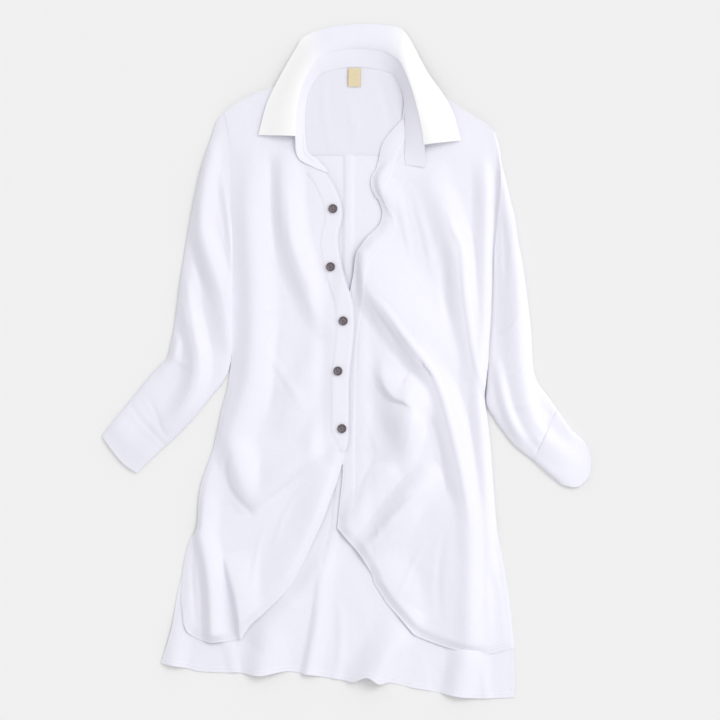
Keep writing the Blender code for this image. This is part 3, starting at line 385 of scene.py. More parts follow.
EAST_CREASES = (
    Crease(7, 9, ((40, 104, 0), (62, 81, 1.4), (90, 42, 2.0), (124, -4, 2.2), (144, -50, 2.0),
                  (160, -108, 1.8), (174, -168, 1.6), (182, -215, 1.1), (186, -255, 0))),
    Crease(6, 7, ((150, 232, 0), (163, 196, 1.4), (175, 166, 1.6), (181, 100, 1.6), (188, 50, 1.6),
                  (196, -4, 1.5), (206, -36, 0.9), (211, -58, 0))),
    Crease(9, 12, ((100, 262, 0), (112, 214, 1.2), (124, 168, 1.2), (130, 120, 0))),
    Crease(7, 9, ((78, 250, 0), (84, 216, 0.9), (92, 182, 0.8), (96, 150, 0))),
    Crease(12, 14, ((140, 190, 0), (146, 140, -1.6), (150, 90, -1.8), (156, 44, 0))),
    Crease(8, 9, ((36, 96, 0), (52, 66, -1.0), (70, 38, -1.2), (86, 12, 0))),
    Crease(7, 9, ((120, -70, 0), (134, -105, -1.0), (144, -150, -1.1), (150, -196, 0))),
    Crease(22, 26, ((40, -46, 0), (50, -80, -2.3), (60, -112, -2.3), (72, -142, 0))),
    Crease(8, 14, ((130, -178, 0), (104, -199, 1.9), (81, -218, 2.4), (58, -242, 2.3), (38, -266, 2.0),
                   (20, -286, 0))),
    Crease(14, 16, ((36, -236, 0), (60, -204, -1.8), (88, -174, -2.0), (118, -160, 0))),
    Crease(5, 7, ((41, -148, 0), (30, -168, -1.2), (20, -190, -1.2), (8, -246, 0))),
    Crease(6, 8, ((120, -268, 0), (104, -296, 0.9), (88, -330, 0.9), (76, -356, 0))),
    Crease(8, 10, ((148, -250, 0), (140, -300, -1.0), (138, -350, -0.9), (142, -396, 0))),
    Crease(7, 8, ((214, -250, 0), (211, -310, 0.9), (212, -370, 0.9), (216, -425, 0))))

BACK_CREASES = (
    Crease(20, 34, ((-4, -215, 0), (-15, -248, 5.0), (-36, -300, 7.4), (-60, -340, 7.6), (-90, -374, 6.4),
                    (-120, -404, 4.6), (-138, -428, 0))),
    Crease(12, 16, ((-196, -400, 0), (-176, -432, 1.4), (-166, -478, 1.6))),
    Crease(14, 14, ((-150, -410, 0), (-150, -440, -1.6), (-150, -480, -1.8))),
    Crease(9, 12, ((-14, -350, 0), (-8, -395, 1.2), (-10, -440, 1.4), (-20, -490, 1.0))),
    Crease(10, 14, ((108, -412, 0), (100, -440, -1.8), (88, -472, -2.0), (80, -505, -1.6))),
    Crease(10, 12, ((116, -425, 0), (128, -455, -1.2), (136, -500, -1.4))),
    Crease(34, 40, ((178, -404, 0), (182, -436, 8.0), (180, -470, 7.0), (176, -515, 3.0))),
    Crease(9, 12, ((206, -455, 0), (208, -480, 1.2), (212, -515, 1.6))))

YOKE_CREASES = (
    Crease(10, 14, ((40, 438, 0), (56, 400, -0.5), (66, 360, -0.6), (62, 325, 0))),
    Crease(9, 10, ((-30, 420, 0), (-34, 390, 0.5), (-30, 350, 0.5), (-22, 318, 0))),
    Crease(12, 14, ((0, 400, 0), (8, 372, 0.4), (14, 340, 0.5), (12, 312, 0))))

SLEEVE_WEST_CREASES = (
    Crease(9, 10, ((-192, 272, 0), (-187, 232, -2.0), (-182, 190, -1.8), (-178, 156, 0))),
    Crease(9, 12, ((-240, 196, 0), (-228, 160, -1.6), (-216, 118, -1.8), (-206, 84, 0))),
    Crease(6, 8, ((-236, 130, 0), (-233, 100, 1.2), (-224, 50, 1.4), (-215, 0, 1.4), (-220, -44, 1.3),
                  (-244, -86, 1.2), (-270, -112, 0))),
    Crease(6, 8, ((-262, 14, 0), (-248, -2, 0.9), (-234, -8, 0.8), (-218, -8, 0))),
    Crease(6, 7, ((-300, -50, 0), (-286, -76, -0.9), (-276, -100, -0.9), (-268, -118, 0))))

SLEEVE_EAST_CREASES = (
    Crease(6, 8, ((230, 232, 0), (236, 190, -0.8), (238, 140, -0.9), (240, 96, 0))),
    Crease(5, 6, ((268, 76, 0), (252, 56, 1.2), (238, 46, 1.0), (226, 44, 0))),
    Crease(6, 7, ((278, 6, 0), (262, -14, 1.4), (246, -22, 1.2), (232, -22, 0))),
    Crease(5, 6, ((294, -50, 0), (280, -62, 1.2), (264, -68, 1.1), (248, -68, 0))),
    Crease(6, 8, ((304, -70, 0), (300, -98, -1.3), (292, -126, -1.2), (282, -140, 0))))


# Curves and grids

def smooth_curve(points, per_span=10):
    """Catmull-Rom curve through the points, as an array of close points."""
    knots = np.asarray(points, dtype=float)
    padded = np.vstack([2 * knots[0] - knots[1], knots, 2 * knots[-1] - knots[-2]])
    steps = np.linspace(0.0, 1.0, per_span, endpoint=False)[:, None]
    spans = []
    for before, start, end, after in zip(padded, padded[1:], padded[2:], padded[3:]):
        spans.append(0.5 * (2 * start + (end - before) * steps
                            + (2 * before - 5 * start + 4 * end - after) * steps ** 2
                            + (3 * start - before - 3 * end + after) * steps ** 3))
    return np.vstack(spans + [knots[-1:]])


def travel_along(curve):
    return np.concatenate([[0.0], np.cumsum(np.linalg.norm(np.diff(curve, axis=0), axis=1))])


def along(curve, fractions):
    """Points of a curve at fractions of its length."""
    lengths = travel_along(curve)
    wanted = np.asarray(fractions) * lengths[-1]
    return np.column_stack([np.interp(wanted, lengths, curve[:, axis]) for axis in range(curve.shape[1])])


def curve_length(curve):
    return float(travel_along(curve)[-1])


def bell(distance, width):
    """One in the middle, falling to nought over about twice the width."""
    return np.exp(-(distance / width) ** 2)


def smoothstep(low, high, value):
    ratio = np.clip((value - low) / (high - low), 0.0, 1.0)
    return ratio * ratio * (3.0 - 2.0 * ratio)


def even(count):
    return np.linspace(0.0, 1.0, count + 1)


def steps_to(length, cell, near_start=(), near_end=()):
    """Fractions of a length in cells, with closer steps at given distances from its ends."""
    first = near_start[-1] if near_start else 0.0
    last = length - (near_end[-1] if near_end else 0.0)
    middle = np.linspace(first, last, max(round((last - first) / cell), 1) + 1)
    start = np.array(near_start[:-1], dtype=float)
    end = length - np.array(near_end[:-1], dtype=float)[::-1]
    return np.concatenate([start, middle, end]) / length


def fill_outline(top, bottom, west, east, across, down):
    """Coons patch between four curves, sampled at fractions across and down.

    `across` may be one row of fractions for the whole patch, or a row for each row of it."""
    down = np.asarray(down, dtype=float)
    across = np.broadcast_to(across, (len(down), np.shape(across)[-1]))
    top_row = along(top, across.ravel()).reshape(across.shape + (2,))
    bottom_row = along(bottom, across.ravel()).reshape(across.shape + (2,))
    west_side, east_side = along(west, down)[:, None, :], along(east, down)[:, None, :]
    u = across[:, :, None]
    v = down[:, None, None]
    sides = (1 - u) * west_side + u * east_side
    ends = (1 - v) * top_row + v * bottom_row
    corners = ((1 - u) * (1 - v) * top[0] + u * (1 - v) * top[-1]
               + (1 - u) * v * bottom[0] + u * v * bottom[-1])
    return sides + ends - corners


def grid_normals(points, closed=False):
    """Upward unit normals of a grid of points, which may close on itself across."""
    if closed:
        wrapped = np.concatenate([points[:, -1:], points, points[:, :1]], axis=1)
        across = (wrapped[:, 2:] - wrapped[:, :-2]) / 2
    else:
        across = np.gradient(points, axis=1)
    normals = np.cross(across, -np.gradient(points, axis=0))
    return normals / np.maximum(np.linalg.norm(normals, axis=2, keepdims=True), 1e-9)


def nearest_on(line, x, y, reach):
    """For plan points: distance to a line, place on it and side, for those within reach of it.

    Gives the index of those points, their distance, their nearest segment with the ratio along
    it, and whether they lie on its eastern side, seen down the line."""
    low, high = line[:, :2].min(axis=0) - reach, line[:, :2].max(axis=0) + reach
    index = np.flatnonzero((x > low[0]) & (x < high[0]) & (y > low[1]) & (y < high[1]))
    start, step = line[:-1], np.diff(line, axis=0)
    length_squared = np.maximum((step[:, :2] ** 2).sum(axis=1), 1e-9)
    off_x = x[index, None] - start[:, 0]
    off_y = y[index, None] - start[:, 1]
    ratio = np.clip((off_x * step[:, 0] + off_y * step[:, 1]) / length_squared, 0.0, 1.0)
    distance = np.hypot(off_x - ratio * step[:, 0], off_y - ratio * step[:, 1])
    segment = distance.argmin(axis=1)
    pick = (np.arange(len(index)), segment)
    eastern = step[segment, 0] * off_y[pick] - step[segment, 1] * off_x[pick] > 0.0
    return index, distance[pick], segment, ratio[pick], eastern


# Folds and creases

def fall_from(shape, crest, x, y):
    """Points near a crest: their index, profile from nought to one, segment and rise there."""
    index, distance, segment, ratio, eastern = nearest_on(crest, x, y, max(shape.west, shape.east))
    fall = np.clip(1.0 - distance / np.where(eastern, shape.east, shape.west), 0.0, 1.0)
    rise = crest[segment, 2] + ratio * np.diff(crest[:, 2])[segment]
    return index, fall * fall * (3.0 - 2.0 * fall), segment, rise


def fold_shape(fold, x, y):
    """Height of one fold at plan points, and how far it shifts them sideways."""
    crest = smooth_curve(fold.crest, 5)
    height, shift_x, shift_y = np.zeros(len(x)), np.zeros(len(x)), np.zeros(len(x))
    index, profile, segment, rise = fall_from(fold, crest, x, y)
    step = np.diff(crest, axis=0)[segment]
    height[index] = rise.clip(0.0) * profile
    heading = step[:, :2] / np.maximum(np.linalg.norm(step[:, :2], axis=1, keepdims=True), 1e-6)
    lean = fold.lean * profile * profile * height[index] / max(point[2] for point in fold.crest)
    shift_x[index], shift_y[index] = lean * heading[:, 1], -lean * heading[:, 0]
    return height, shift_x, shift_y


def drape(folds, x, y):
    """Sideways shift and height that a set of folds gives to plan points."""
    total, shift_x, shift_y = np.zeros(len(x)), np.zeros(len(x)), np.zeros(len(x))
    for fold in folds:
        height, lean_x, lean_y = fold_shape(fold, x, y)
        total += height ** 3
        shift_x += lean_x
        shift_y += lean_y
    return shift_x, shift_y, np.cbrt(total)


def crease_relief(creases, x, y):
    """Height that a set of creases adds at plan points."""
    total = np.zeros(len(x))
    for crease in creases:
        index, profile, _, rise = fall_from(crease, smooth_curve(crease.crest, 6), x, y)
        total[index] += rise * profile
    return total


def rumple(x, y, seed):
    """Soft unevenness of washed linen, about half a millimetre high, with no visible repeat."""
    bend_x = x + 9.0 * np.sin(y / 23.0 + seed) + 5.0 * np.sin(y / 11.3 + 2.1 * seed)
    bend_y = y + 8.0 * np.sin(x / 19.0 + 1.7 * seed) + 5.0 * np.sin(x / 9.1 + seed)
    broad = np.sin(bend_x / 15.0 + seed) * np.sin(bend_y / 21.0 + 1.3 * seed)
    small = np.sin(bend_x / 6.7 + 2.0 * seed) * np.sin(bend_y / 8.3 + seed)
    return 0.30 * broad + 0.10 * small


def hem_relief(line, x, y):
    """Extra height of a turned hem along a line: doubled cloth, its stitch groove and puckers."""
    relief = np.zeros(len(x))
    index, distance, segment, ratio, _ = nearest_on(line, x, y, HEM_WIDTH + 12.0)
    travel = travel_along(line[:, :2])
    place = travel[segment] + ratio * np.diff(travel)[segment]
    doubled = 1.0 - smoothstep(HEM_WIDTH - 0.2, HEM_WIDTH + 1.0, distance)
    from_stitch = distance - HEM_STITCH
    wave = np.sin(math.tau * place / PUCKER_LENGTH + 1.9 * np.sin(place / 23.0))
    strength = 0.6 + 0.4 * np.sin(place / 41.0 + 1.0)
    relief[index] = (HEM_RISE * doubled - STITCH_SINK * bell(from_stitch, 1.1)
                     + PUCKER * strength * wave * bell(from_stitch, 4.2))
    return relief


# Surfaces of the panels, as on the frame, with their creases

def back_surface(x, y):
    shift_x, shift_y, height = drape(BACK_FOLDS, x, y)
    return x + shift_x, y + shift_y, height


def front_floor(x, y):
    """Lowest underside of a front: the back or the yoke under it, and a little air."""
    _, _, below = back_surface(x, y)
    spare = np.minimum(0.5 * below, MAX_SPARE)
    near_pleat = smoothstep(*PLEAT_SHADOW_WEST, x) * (1.0 - smoothstep(*PLEAT_SHADOW_EAST, x))
    over_yoke = OVER_YOKE * smoothstep(*YOKE_EDGE, y)
    return FRONT_BASE + below + spare + np.maximum(PLEAT_RISE * near_pleat, over_yoke)


def side_fall(outline, arm_leaves, x, y):
    """Nought on the side seam, one from SIDE_ROLL inside it and where an arm lies beside it."""
    ends = np.array(outline, dtype=float)
    seam_x = np.interp(-y, -ends[:, 1], ends[:, 0])
    return np.maximum(np.sqrt(smoothstep(-2.0, SIDE_ROLL, np.abs(x - seam_x))), smoothstep(*arm_leaves, y))


def east_front_surface(x, y):
    shift_x, shift_y, height = drape(EAST_FOLDS, x, y)
    beside_lap = smoothstep(*LAP_SMOOTH_X, x)
    creases = crease_relief(EAST_CREASES, x, y) + rumple(x, y, 1.0) + 0.9
    fall = side_fall(BODY_EAST, ARM_LEAVES_EAST, x, y)
    return (x + shift_x, y + shift_y,
            front_floor(x, y) + (height + creases * beside_lap) * fall - SIDE_SINK * (1.0 - fall))


def west_front_surface(x, y):
    """The western front: its button strip is stiffer and laps over the eastern front."""
    shift_x, shift_y, height = drape(WEST_FOLDS, x, y)
    strip = smoothstep(*STRIP_FROM_X, x) * smoothstep(*STRIP_FROM_Y, y)
    fall = side_fall(BODY_WEST + FRONT_TAIL_WEST, ARM_LEAVES_WEST, x, y)
    creases = (crease_relief(WEST_CREASES, x, y) + rumple(x, y, 2.0) + 0.9) * (1.0 - strip)
    own = (front_floor(x, y) + (height * (1.0 - STRIP_STIFFNESS * strip) + creases) * fall
           - SIDE_SINK * (1.0 - fall))
    lap_edge = np.interp(y, LAP_EDGE_Y, LAP_EDGE_X)
    approach = smoothstep(lap_edge - LAP_APPROACH[0], lap_edge - LAP_APPROACH[1], x)
    over_lap = approach * (1.0 - smoothstep(*LAP_ENDS_Y, y))
    _, _, east_height = east_front_surface(x, y)
    lap = np.maximum(east_height + LAP_LIFT - own, 0.0)
    return x + shift_x, y + shift_y, own + over_lap * lap


def surface_points(surface, plan):
    """Points of a surface over an array of plan points, rows by columns by x and y."""
    rows, columns = plan.shape[:2]
    x, y, z = surface(plan[..., 0].ravel(), plan[..., 1].ravel())
    return np.column_stack([x, y, z]).reshape(rows, columns, 3)


# Meshes

def add_object(name, data):
    made = bpy.data.objects.new(name, data)
    bpy.context.scene.collection.objects.link(made)
    return made


def evaluated(thing):
    bpy.context.view_layer.update()
    return thing.evaluated_get(bpy.context.evaluated_depsgraph_get())


def finished_mesh(blank, *spent):
    """Mesh that a blank and its modifiers give, once the blank and its helpers are removed."""
    mesh = bpy.data.meshes.new_from_object(evaluated(blank))
    for thing in spent + (blank,):
        bpy.data.objects.remove(thing)
    return mesh


def add_piece(name, verts, faces, uv=None):
    """Smooth mesh object from points in millimetres, with a place on the cut cloth for each."""
    mesh = bpy.data.meshes.new(name)
    mesh.from_pydata((np.asarray(verts) * MM).tolist(), [], np.asarray(faces).tolist())
    if uv is not None:
        layer = mesh.uv_layers.new(name="cut")
        corners = np.empty(len(mesh.loops), dtype=np.int32)
        mesh.loops.foreach_get("vertex_index", corners)
        layer.data.foreach_set("uv", (np.asarray(uv) * MM)[corners].astype(np.float32).ravel())
    mesh.shade_smooth()
    mesh.set_sharp_from_angle(angle=SHARP_FROM)
    return add_object(name, mesh)


def cut_places(points):
    """Where each point of a grid lies on the cut cloth, measured along its rows and columns."""
    across = np.linalg.norm(np.diff(points, axis=1), axis=2)
    down = np.linalg.norm(np.diff(points, axis=0), axis=2).mean(axis=1)
    u = np.concatenate([np.zeros((len(points), 1)), np.cumsum(across, axis=1)], axis=1)
    u -= u[:, points.shape[1] // 2][:, None]
    v = np.concatenate([[0.0], np.cumsum(down)])
    return np.dstack([u, np.broadcast_to(-v[:, None], u.shape)])


def cloth_wall(name, points, under, over, closed=False):
    """Closed wall of cloth round a grid of points, from `under` to `over` along its normals."""
    rows, columns = points.shape[:2]
    normals = grid_normals(points, closed)
    over = np.broadcast_to(over, (rows, columns))[..., None]
    top = points + normals * over
    bottom = points + normals * under
    verts = np.concatenate([top.reshape(-1, 3), bottom.reshape(-1, 3)])
    index = np.arange(rows * columns).reshape(rows, columns)
    if closed:
        index = np.hstack([index, index[:, :1]])
    lower = index + rows * columns
    faces = [np.stack([index[:-1, :-1], index[1:, :-1], index[1:, 1:], index[:-1, 1:]], axis=-1),
             np.stack([lower[:-1, :-1], lower[:-1, 1:], lower[1:, 1:], lower[1:, :-1]], axis=-1),
             np.stack([index[0, :-1], index[0, 1:], lower[0, 1:], lower[0, :-1]], axis=-1),
             np.stack([index[-1, 1:], index[-1, :-1], lower[-1, :-1], lower[-1, 1:]], axis=-1)]
    if not closed:
        faces.append(np.stack([index[1:, 0], index[:-1, 0], lower[:-1, 0], lower[1:, 0]], axis=-1))
        faces.append(np.stack([index[:-1, -1], index[1:, -1], lower[1:, -1], lower[:-1, -1]], axis=-1))
    places = cut_places(points).reshape(-1, 2)
    return add_piece(name, verts, np.vstack([face.reshape(-1, 4) for face in faces]),
                     np.vstack([places, places]))


# Panels

def make_back():
    west = smooth_curve(BODY_WEST[2:] + BACK_TAIL_WEST)
    east = smooth_curve(BODY_EAST[1:] + BACK_TAIL_EAST)
    top = np.array([(BODY_WEST[2][0], YOKE_SEAM_Y), (BODY_EAST[1][0], YOKE_SEAM_Y)], dtype=float)
    hem = smooth_curve(BACK_HEM)
    down = steps_to(curve_length(west), CELL + 0.5, near_end=HEM_STEPS)
    across = steps_to(curve_length(hem), CELL + 0.6)
    plan = fill_outline(top, hem, west, east, across, down)
    points = surface_points(back_surface, plan)
    x, y = plan[..., 0].ravel(), plan[..., 1].ravel()
    free = smoothstep(-250.0, -330.0, y)
    relief = hem_relief(hem, x, y) + free * (crease_relief(BACK_CREASES, x, y)
                                             + rumple(x, y, 3.0) * 0.8 + 0.35)
    for edge in (west, east):
        slit = edge[edge[:, 1] < SLIT_TOP_Y]
        relief = np.maximum(relief, hem_relief(slit, x, y) * smoothstep(-280.0, -300.0, y))
    relief += pleat_relief(x, y)
    points[..., 2] += np.maximum(relief, 0.0).reshape(plan.shape[:2])
    return cloth_wall("back_panel", points, 0.0, LINEN_LOOK), hem


def pleat_relief(x, y):
    """Doubled cloth of the centre back pleat, pressed flat, with its free edge to the west."""
    middle = np.interp(-y, (-309.0, 0.0, 250.0, 345.0, 400.0, 480.0), (4.0, 3.0, -14.0, -38.0, -46.0, -60.0))
    pressed = smoothstep(-7.0, -5.8, x - middle) * (1.0 - smoothstep(3.0, 9.0, x - middle))
    return pressed * (1.3 - 0.7 * smoothstep(-250.0, -420.0, y))


def make_yoke():
    """Flat plate: its upper edge is the shoulders and the back neck, its lower edge a seam."""
    top = np.vstack([smooth_curve(SHOULDER_WEST), smooth_curve(BACK_NECK)[1:],
                     smooth_curve(SHOULDER_EAST)[1:]])
    west = smooth_curve(BODY_WEST[:2] + ((BODY_WEST[2][0], YOKE_SEAM_Y),))
    east = smooth_curve(BODY_EAST[:1] + ((BODY_EAST[1][0], YOKE_SEAM_Y),))
    bottom = np.array([west[-1], east[-1]])
    across = steps_to(curve_length(top), CELL)
    down = steps_to(curve_length(west), CELL, near_end=YOKE_STEPS)
    plan = fill_outline(top, bottom, west, east, across, down)
    x, y = plan[..., 0].ravel(), plan[..., 1].ravel()
    seam = np.abs(y - YOKE_SEAM_Y)
    groove = bell(seam - YOKE_STITCH, GROOVE)
    relief = crease_relief(YOKE_CREASES, x, y) + 0.5 * rumple(x, y, 4.0) - STITCH_SINK * groove
    over = YOKE_CLOTH - 0.6 + np.clip(relief, -0.8, 0.8)
    flat = np.dstack([plan, np.zeros(plan.shape[:2])])
    return cloth_wall("back_yoke", flat, 0.0, over.reshape(plan.shape[:2]))


def front_plan(top, bottom, west, east, strip_side, down):
    """Plan of a front whose columns beside the open edge keep the placket's width."""
    width = np.linalg.norm(along(east, down) - along(west, down), axis=1)[:, None]
    strip = np.array(STRIP_STEPS)[None, :] / width
    columns = round((width.max() - PLACKET_WIDTH) / CELL)
    rest = strip[:, -1:] + (1.0 - strip[:, -1:]) * even(columns)[None, 1:]
    across = np.hstack([strip, rest])
    if strip_side == "east":
        across = 1.0 - across[:, ::-1]
    return fill_outline(top, bottom, west, east, across, down)


def front_rows(neck, edge, strip_end_y):
    """Row fractions with a row at the neck's end and one where the placket ends."""
    whole = curve_length(neck) + curve_length(edge)
    neck_end = curve_length(neck) / whole
    strip_end = neck_end + curve_length(edge[edge[:, 1] > strip_end_y]) / whole
    first = steps_to(neck_end * whole, CELL) * neck_end
    second = neck_end + steps_to((strip_end - neck_end) * whole, CELL) * (strip_end - neck_end)
    third = strip_end + steps_to((1.0 - strip_end) * whole, CELL, near_end=HEM_STEPS) * (1.0 - strip_end)
    down = np.concatenate([first, second[1:], third[1:]])
    return down, len(first) - 1, len(first) + len(second) - 2


def make_front(side, surface, plan, hem, drooping, strip_rows, strip_columns):
    """A front and its placket, which lies on the given rows and columns of it."""
    points = surface_points(surface, plan)
    x, y = plan[..., 0].ravel(), plan[..., 1].ravel()
    index, distance, _, _, _ = nearest_on(drooping, x, y, HEM_DROOP_REACH)
    droop = np.zeros(len(x))
    droop[index] = smoothstep(HEM_DROOP_REACH, 0.0, distance)
    droop = droop.reshape(plan.shape[:2])
    resting = front_floor(x, y).reshape(plan.shape[:2])
    points[..., 2] -= droop * (HEM_DROOP * np.maximum(points[..., 2] - resting, 0.0) + HEM_SINK)
    relief = hem_relief(hem, x, y)
    over = LINEN + relief.reshape(plan.shape[:2])
    front = cloth_wall("front_%s_panel" % side, points, LINEN - LINEN_LOOK, over)
    normals = grid_normals(points)
    share = np.array(STRIP_STEPS)
    if side == "left":
        share = share[::-1]
    edge = np.minimum(share, PLACKET_WIDTH - share)
    strip = points[strip_rows, strip_columns]
    travel = travel_along(strip[:, strip.shape[1] // 2])[:, None]
    narrow = np.interp(travel[-1] - travel, (0.0, STRIP_TAPER), (HEM_WIDTH, PLACKET_WIDTH + 2.0))
    sunk = STRIP_SUNK * smoothstep(-0.5, 1.5, share[None, :] - narrow)
    strip = strip + normals[strip_rows, strip_columns] * (LINEN - STRIP_IN_FRONT - sunk)[..., None]
    groove = bell(edge - STRIP_STITCH, GROOVE)[None, :]
    wave = np.sin(math.tau * travel / PUCKER_LENGTH + 1.3 * np.sin(travel / 19.0) + share[None, :] * 0.05)
    near = bell(edge - STRIP_STITCH, 3.5)[None, :]
    crown = 0.2 * smoothstep(0.0, 6.0, edge)[None, :]
    thick = STRIP_LOOK + crown - STITCH_SINK * groove + PUCKER * wave * near
    thick = thick * (1.0 - 0.6 * sunk / STRIP_SUNK)
    thin = smoothstep(0.0, 9.0, travel[-1] - travel) * smoothstep(-0.5, 4.5, PLACKET_WIDTH - share)[None, :]
    thick = STRIP_HEM_LOOK + (thick - STRIP_HEM_LOOK) * thin
    placket = cloth_wall("placket_%s_strip" % side, strip, 0.0, thick)
    return front, placket, strip


def make_fronts():
    neck, edge = smooth_curve(FRONT_NECK_WEST), smooth_curve(FRONT_EDGE_WEST)
    down, first, last = front_rows(neck, edge, PLACKET_END_WEST_Y)
    bottom = smooth_curve(FRONT_HEM_WEST)
    plan = front_plan(smooth_curve(SHOULDER_WEST), bottom, smooth_curve(BODY_WEST + FRONT_TAIL_WEST),
                      np.vstack([neck, edge[1:]]), "east", down)
    slit = smooth_curve(FRONT_TAIL_WEST)[::-1]
    hem = np.vstack([edge[edge[:, 1] < PLACKET_END_WEST_Y], bottom[::-1][1:], slit[1:]])
    west = make_front("left", west_front_surface, plan, hem, hem, slice(first, last + 1),
                      slice(-len(STRIP_STEPS), None)) + (hem,)

    neck, edge = smooth_curve(FRONT_NECK_EAST), smooth_curve(FRONT_EDGE_EAST)
    down, first, last = front_rows(neck, edge, PLACKET_END_EAST_Y)
    bottom = smooth_curve(FRONT_HEM_EAST)
    plan = front_plan(smooth_curve(SHOULDER_EAST), bottom, np.vstack([neck, edge[1:]]),
                      smooth_curve(BODY_EAST), "west", down)
    slit = smooth_curve(BODY_EAST)
    hem = np.vstack([bottom, slit[slit[:, 1] < SLIT_TOP_Y][::-1][1:]])
    turned_in = edge[edge[:, 1] > LAP_ENDS_Y[1]]
    east = make_front("right", east_front_surface, plan, hem, np.vstack([turned_in, hem]),
                      slice(first, last + 1), slice(None, len(STRIP_STEPS))) + (hem,)
    return west, east


# Sleeves and cuffs

def tube_shares(width):
    """Places round a flattened tube: fractions across its upper face and back below it."""
    over = steps_to(width, CELL, near_start=TUBE_STEPS, near_end=TUBE_STEPS)
    under = np.array([0.985, 0.95, 0.85, 0.7, 0.5, 0.3, 0.15, 0.05, 0.015])
    low = np.array([0.10, 0.0, 0.0, 0.0, 0.0, 0.0, 0.0, 0.0, 0.10])
    return over, under, low


def swell(distance, edge):
    """Share of a tube's height at distances from one of its edges."""
    ratio = np.clip(distance / edge.reach, 0.0, 1.0)
    return edge.share + (1.0 - edge.share) * np.sqrt(1.0 - (1.0 - ratio) ** 2.2)


def flat_tube(name, west, east, start, end, height, wall, down, edges, keep_open=0.0):
    """Flattened tube of cloth, open at both ends, lying on the floor.

    `edges` has a weight for each row, and how the tube is rounded at its western and eastern
    edge there.  `keep_open` is how far its first end stays thick out to its edges."""
    width = curve_length(end) * 1.05
    over, under, low = tube_shares(width)
    shares = np.concatenate([over, under])
    plan = fill_outline(start, end, west, east, shares, down)
    heights = sum(weight[:, None] * np.minimum(swell(over * width, west_edge),
                                               swell((1.0 - over) * width, east_edge))
                  for weight, west_edge, east_edge in edges)
    heights = np.hstack([heights, np.broadcast_to(low, (len(down), len(low)))])
    x, y, z = height(plan[..., 0].ravel(), plan[..., 1].ravel(), np.repeat(down, len(shares)))
    upper = np.column_stack([x, y, z]).reshape(plan.shape[:2] + (3,))
    open_end = (1.0 - smoothstep(0.0, 0.05, np.asarray(down)))[:, None] * (heights > 0.2)
    upper[..., 2] *= heights + np.maximum(0.92 - heights, 0.0) * open_end * keep_open
    lower = np.dstack([plan, upper[..., 2]])
    lies_under = np.arange(len(shares)) >= len(over)
    points = np.where(lies_under[None, :, None], lower, upper)
    return cloth_wall(name, points, -wall, 0.0, closed=True), points[:, :len(over)]


def sleeve_height(side, seed):
    """Height of a sleeve's upper face, which starts from the front that it is sewn to."""
    def height(x, y, down):
        shift_x, shift_y, fold_height = drape(side.folds, x, y)
        small = crease_relief(side.creases, x, y) + rumple(x, y, seed)
        fade = smoothstep(0.0, 0.12, down)
        _, _, front = side.front(x, y)
        sewn = front + LINEN - SEAM_STEP
        base = sewn + (SLEEVE_HEIGHT - sewn) * fade
        near_wrist = smoothstep(0.92, 0.985, down) * (1.0 - smoothstep(0.985, 1.0, down))
        gather = 0.5 * np.sin(x / 3.4 + y / 4.6 + 1.2 * np.sin(y / 17.0)) * near_wrist
        wrist = 1.0 - (1.0 - WRIST_DRAW) * smoothstep(0.9, 1.0, down)
        return (x + shift_x * fade, y + shift_y * fade,
                (base + (fold_height + small) * fade) * wrist + gather)
    return height


def cuff_height(side, seed):
    """Height of a cuff's upper face, which starts just over the end of its sleeve."""
    def height(x, y, down):
        shift_x, shift_y, fold_height = drape(side.folds, x, y)
        small = rumple(x, y, seed) * (1.0 - 0.5 * smoothstep(0.0, 0.3, down))
        wrist = WRIST_DRAW + (1.0 - WRIST_DRAW) * smoothstep(0.0, 0.4, down)
        droop = 1.0 - CUFF_END_DROOP * smoothstep(0.45, 1.0, down)
        return x + shift_x, y + shift_y, (SLEEVE_HEIGHT + fold_height + small) * wrist * droop + CUFF_STEP
    return height


Side = namedtuple("Side", "name front armhole_edge gap leaves outer inner"
                          " cuff_outer cuff_inner cuff_end folds creases")
SIDES = (
    Side("left", west_front_surface, BODY_WEST[:5], 0.9, ARM_LEAVES_WEST, SLEEVE_WEST_OUTER,
         SLEEVE_WEST_INNER, CUFF_WEST_OUTER, CUFF_WEST_INNER, CUFF_WEST_END, SLEEVE_WEST_FOLDS,
         SLEEVE_WEST_CREASES),
    Side("right", east_front_surface, BODY_EAST[:4], -0.9, ARM_LEAVES_EAST, SLEEVE_EAST_OUTER,
         SLEEVE_EAST_INNER, CUFF_EAST_OUTER, CUFF_EAST_INNER, CUFF_EAST_END, SLEEVE_EAST_FOLDS,
         SLEEVE_EAST_CREASES))


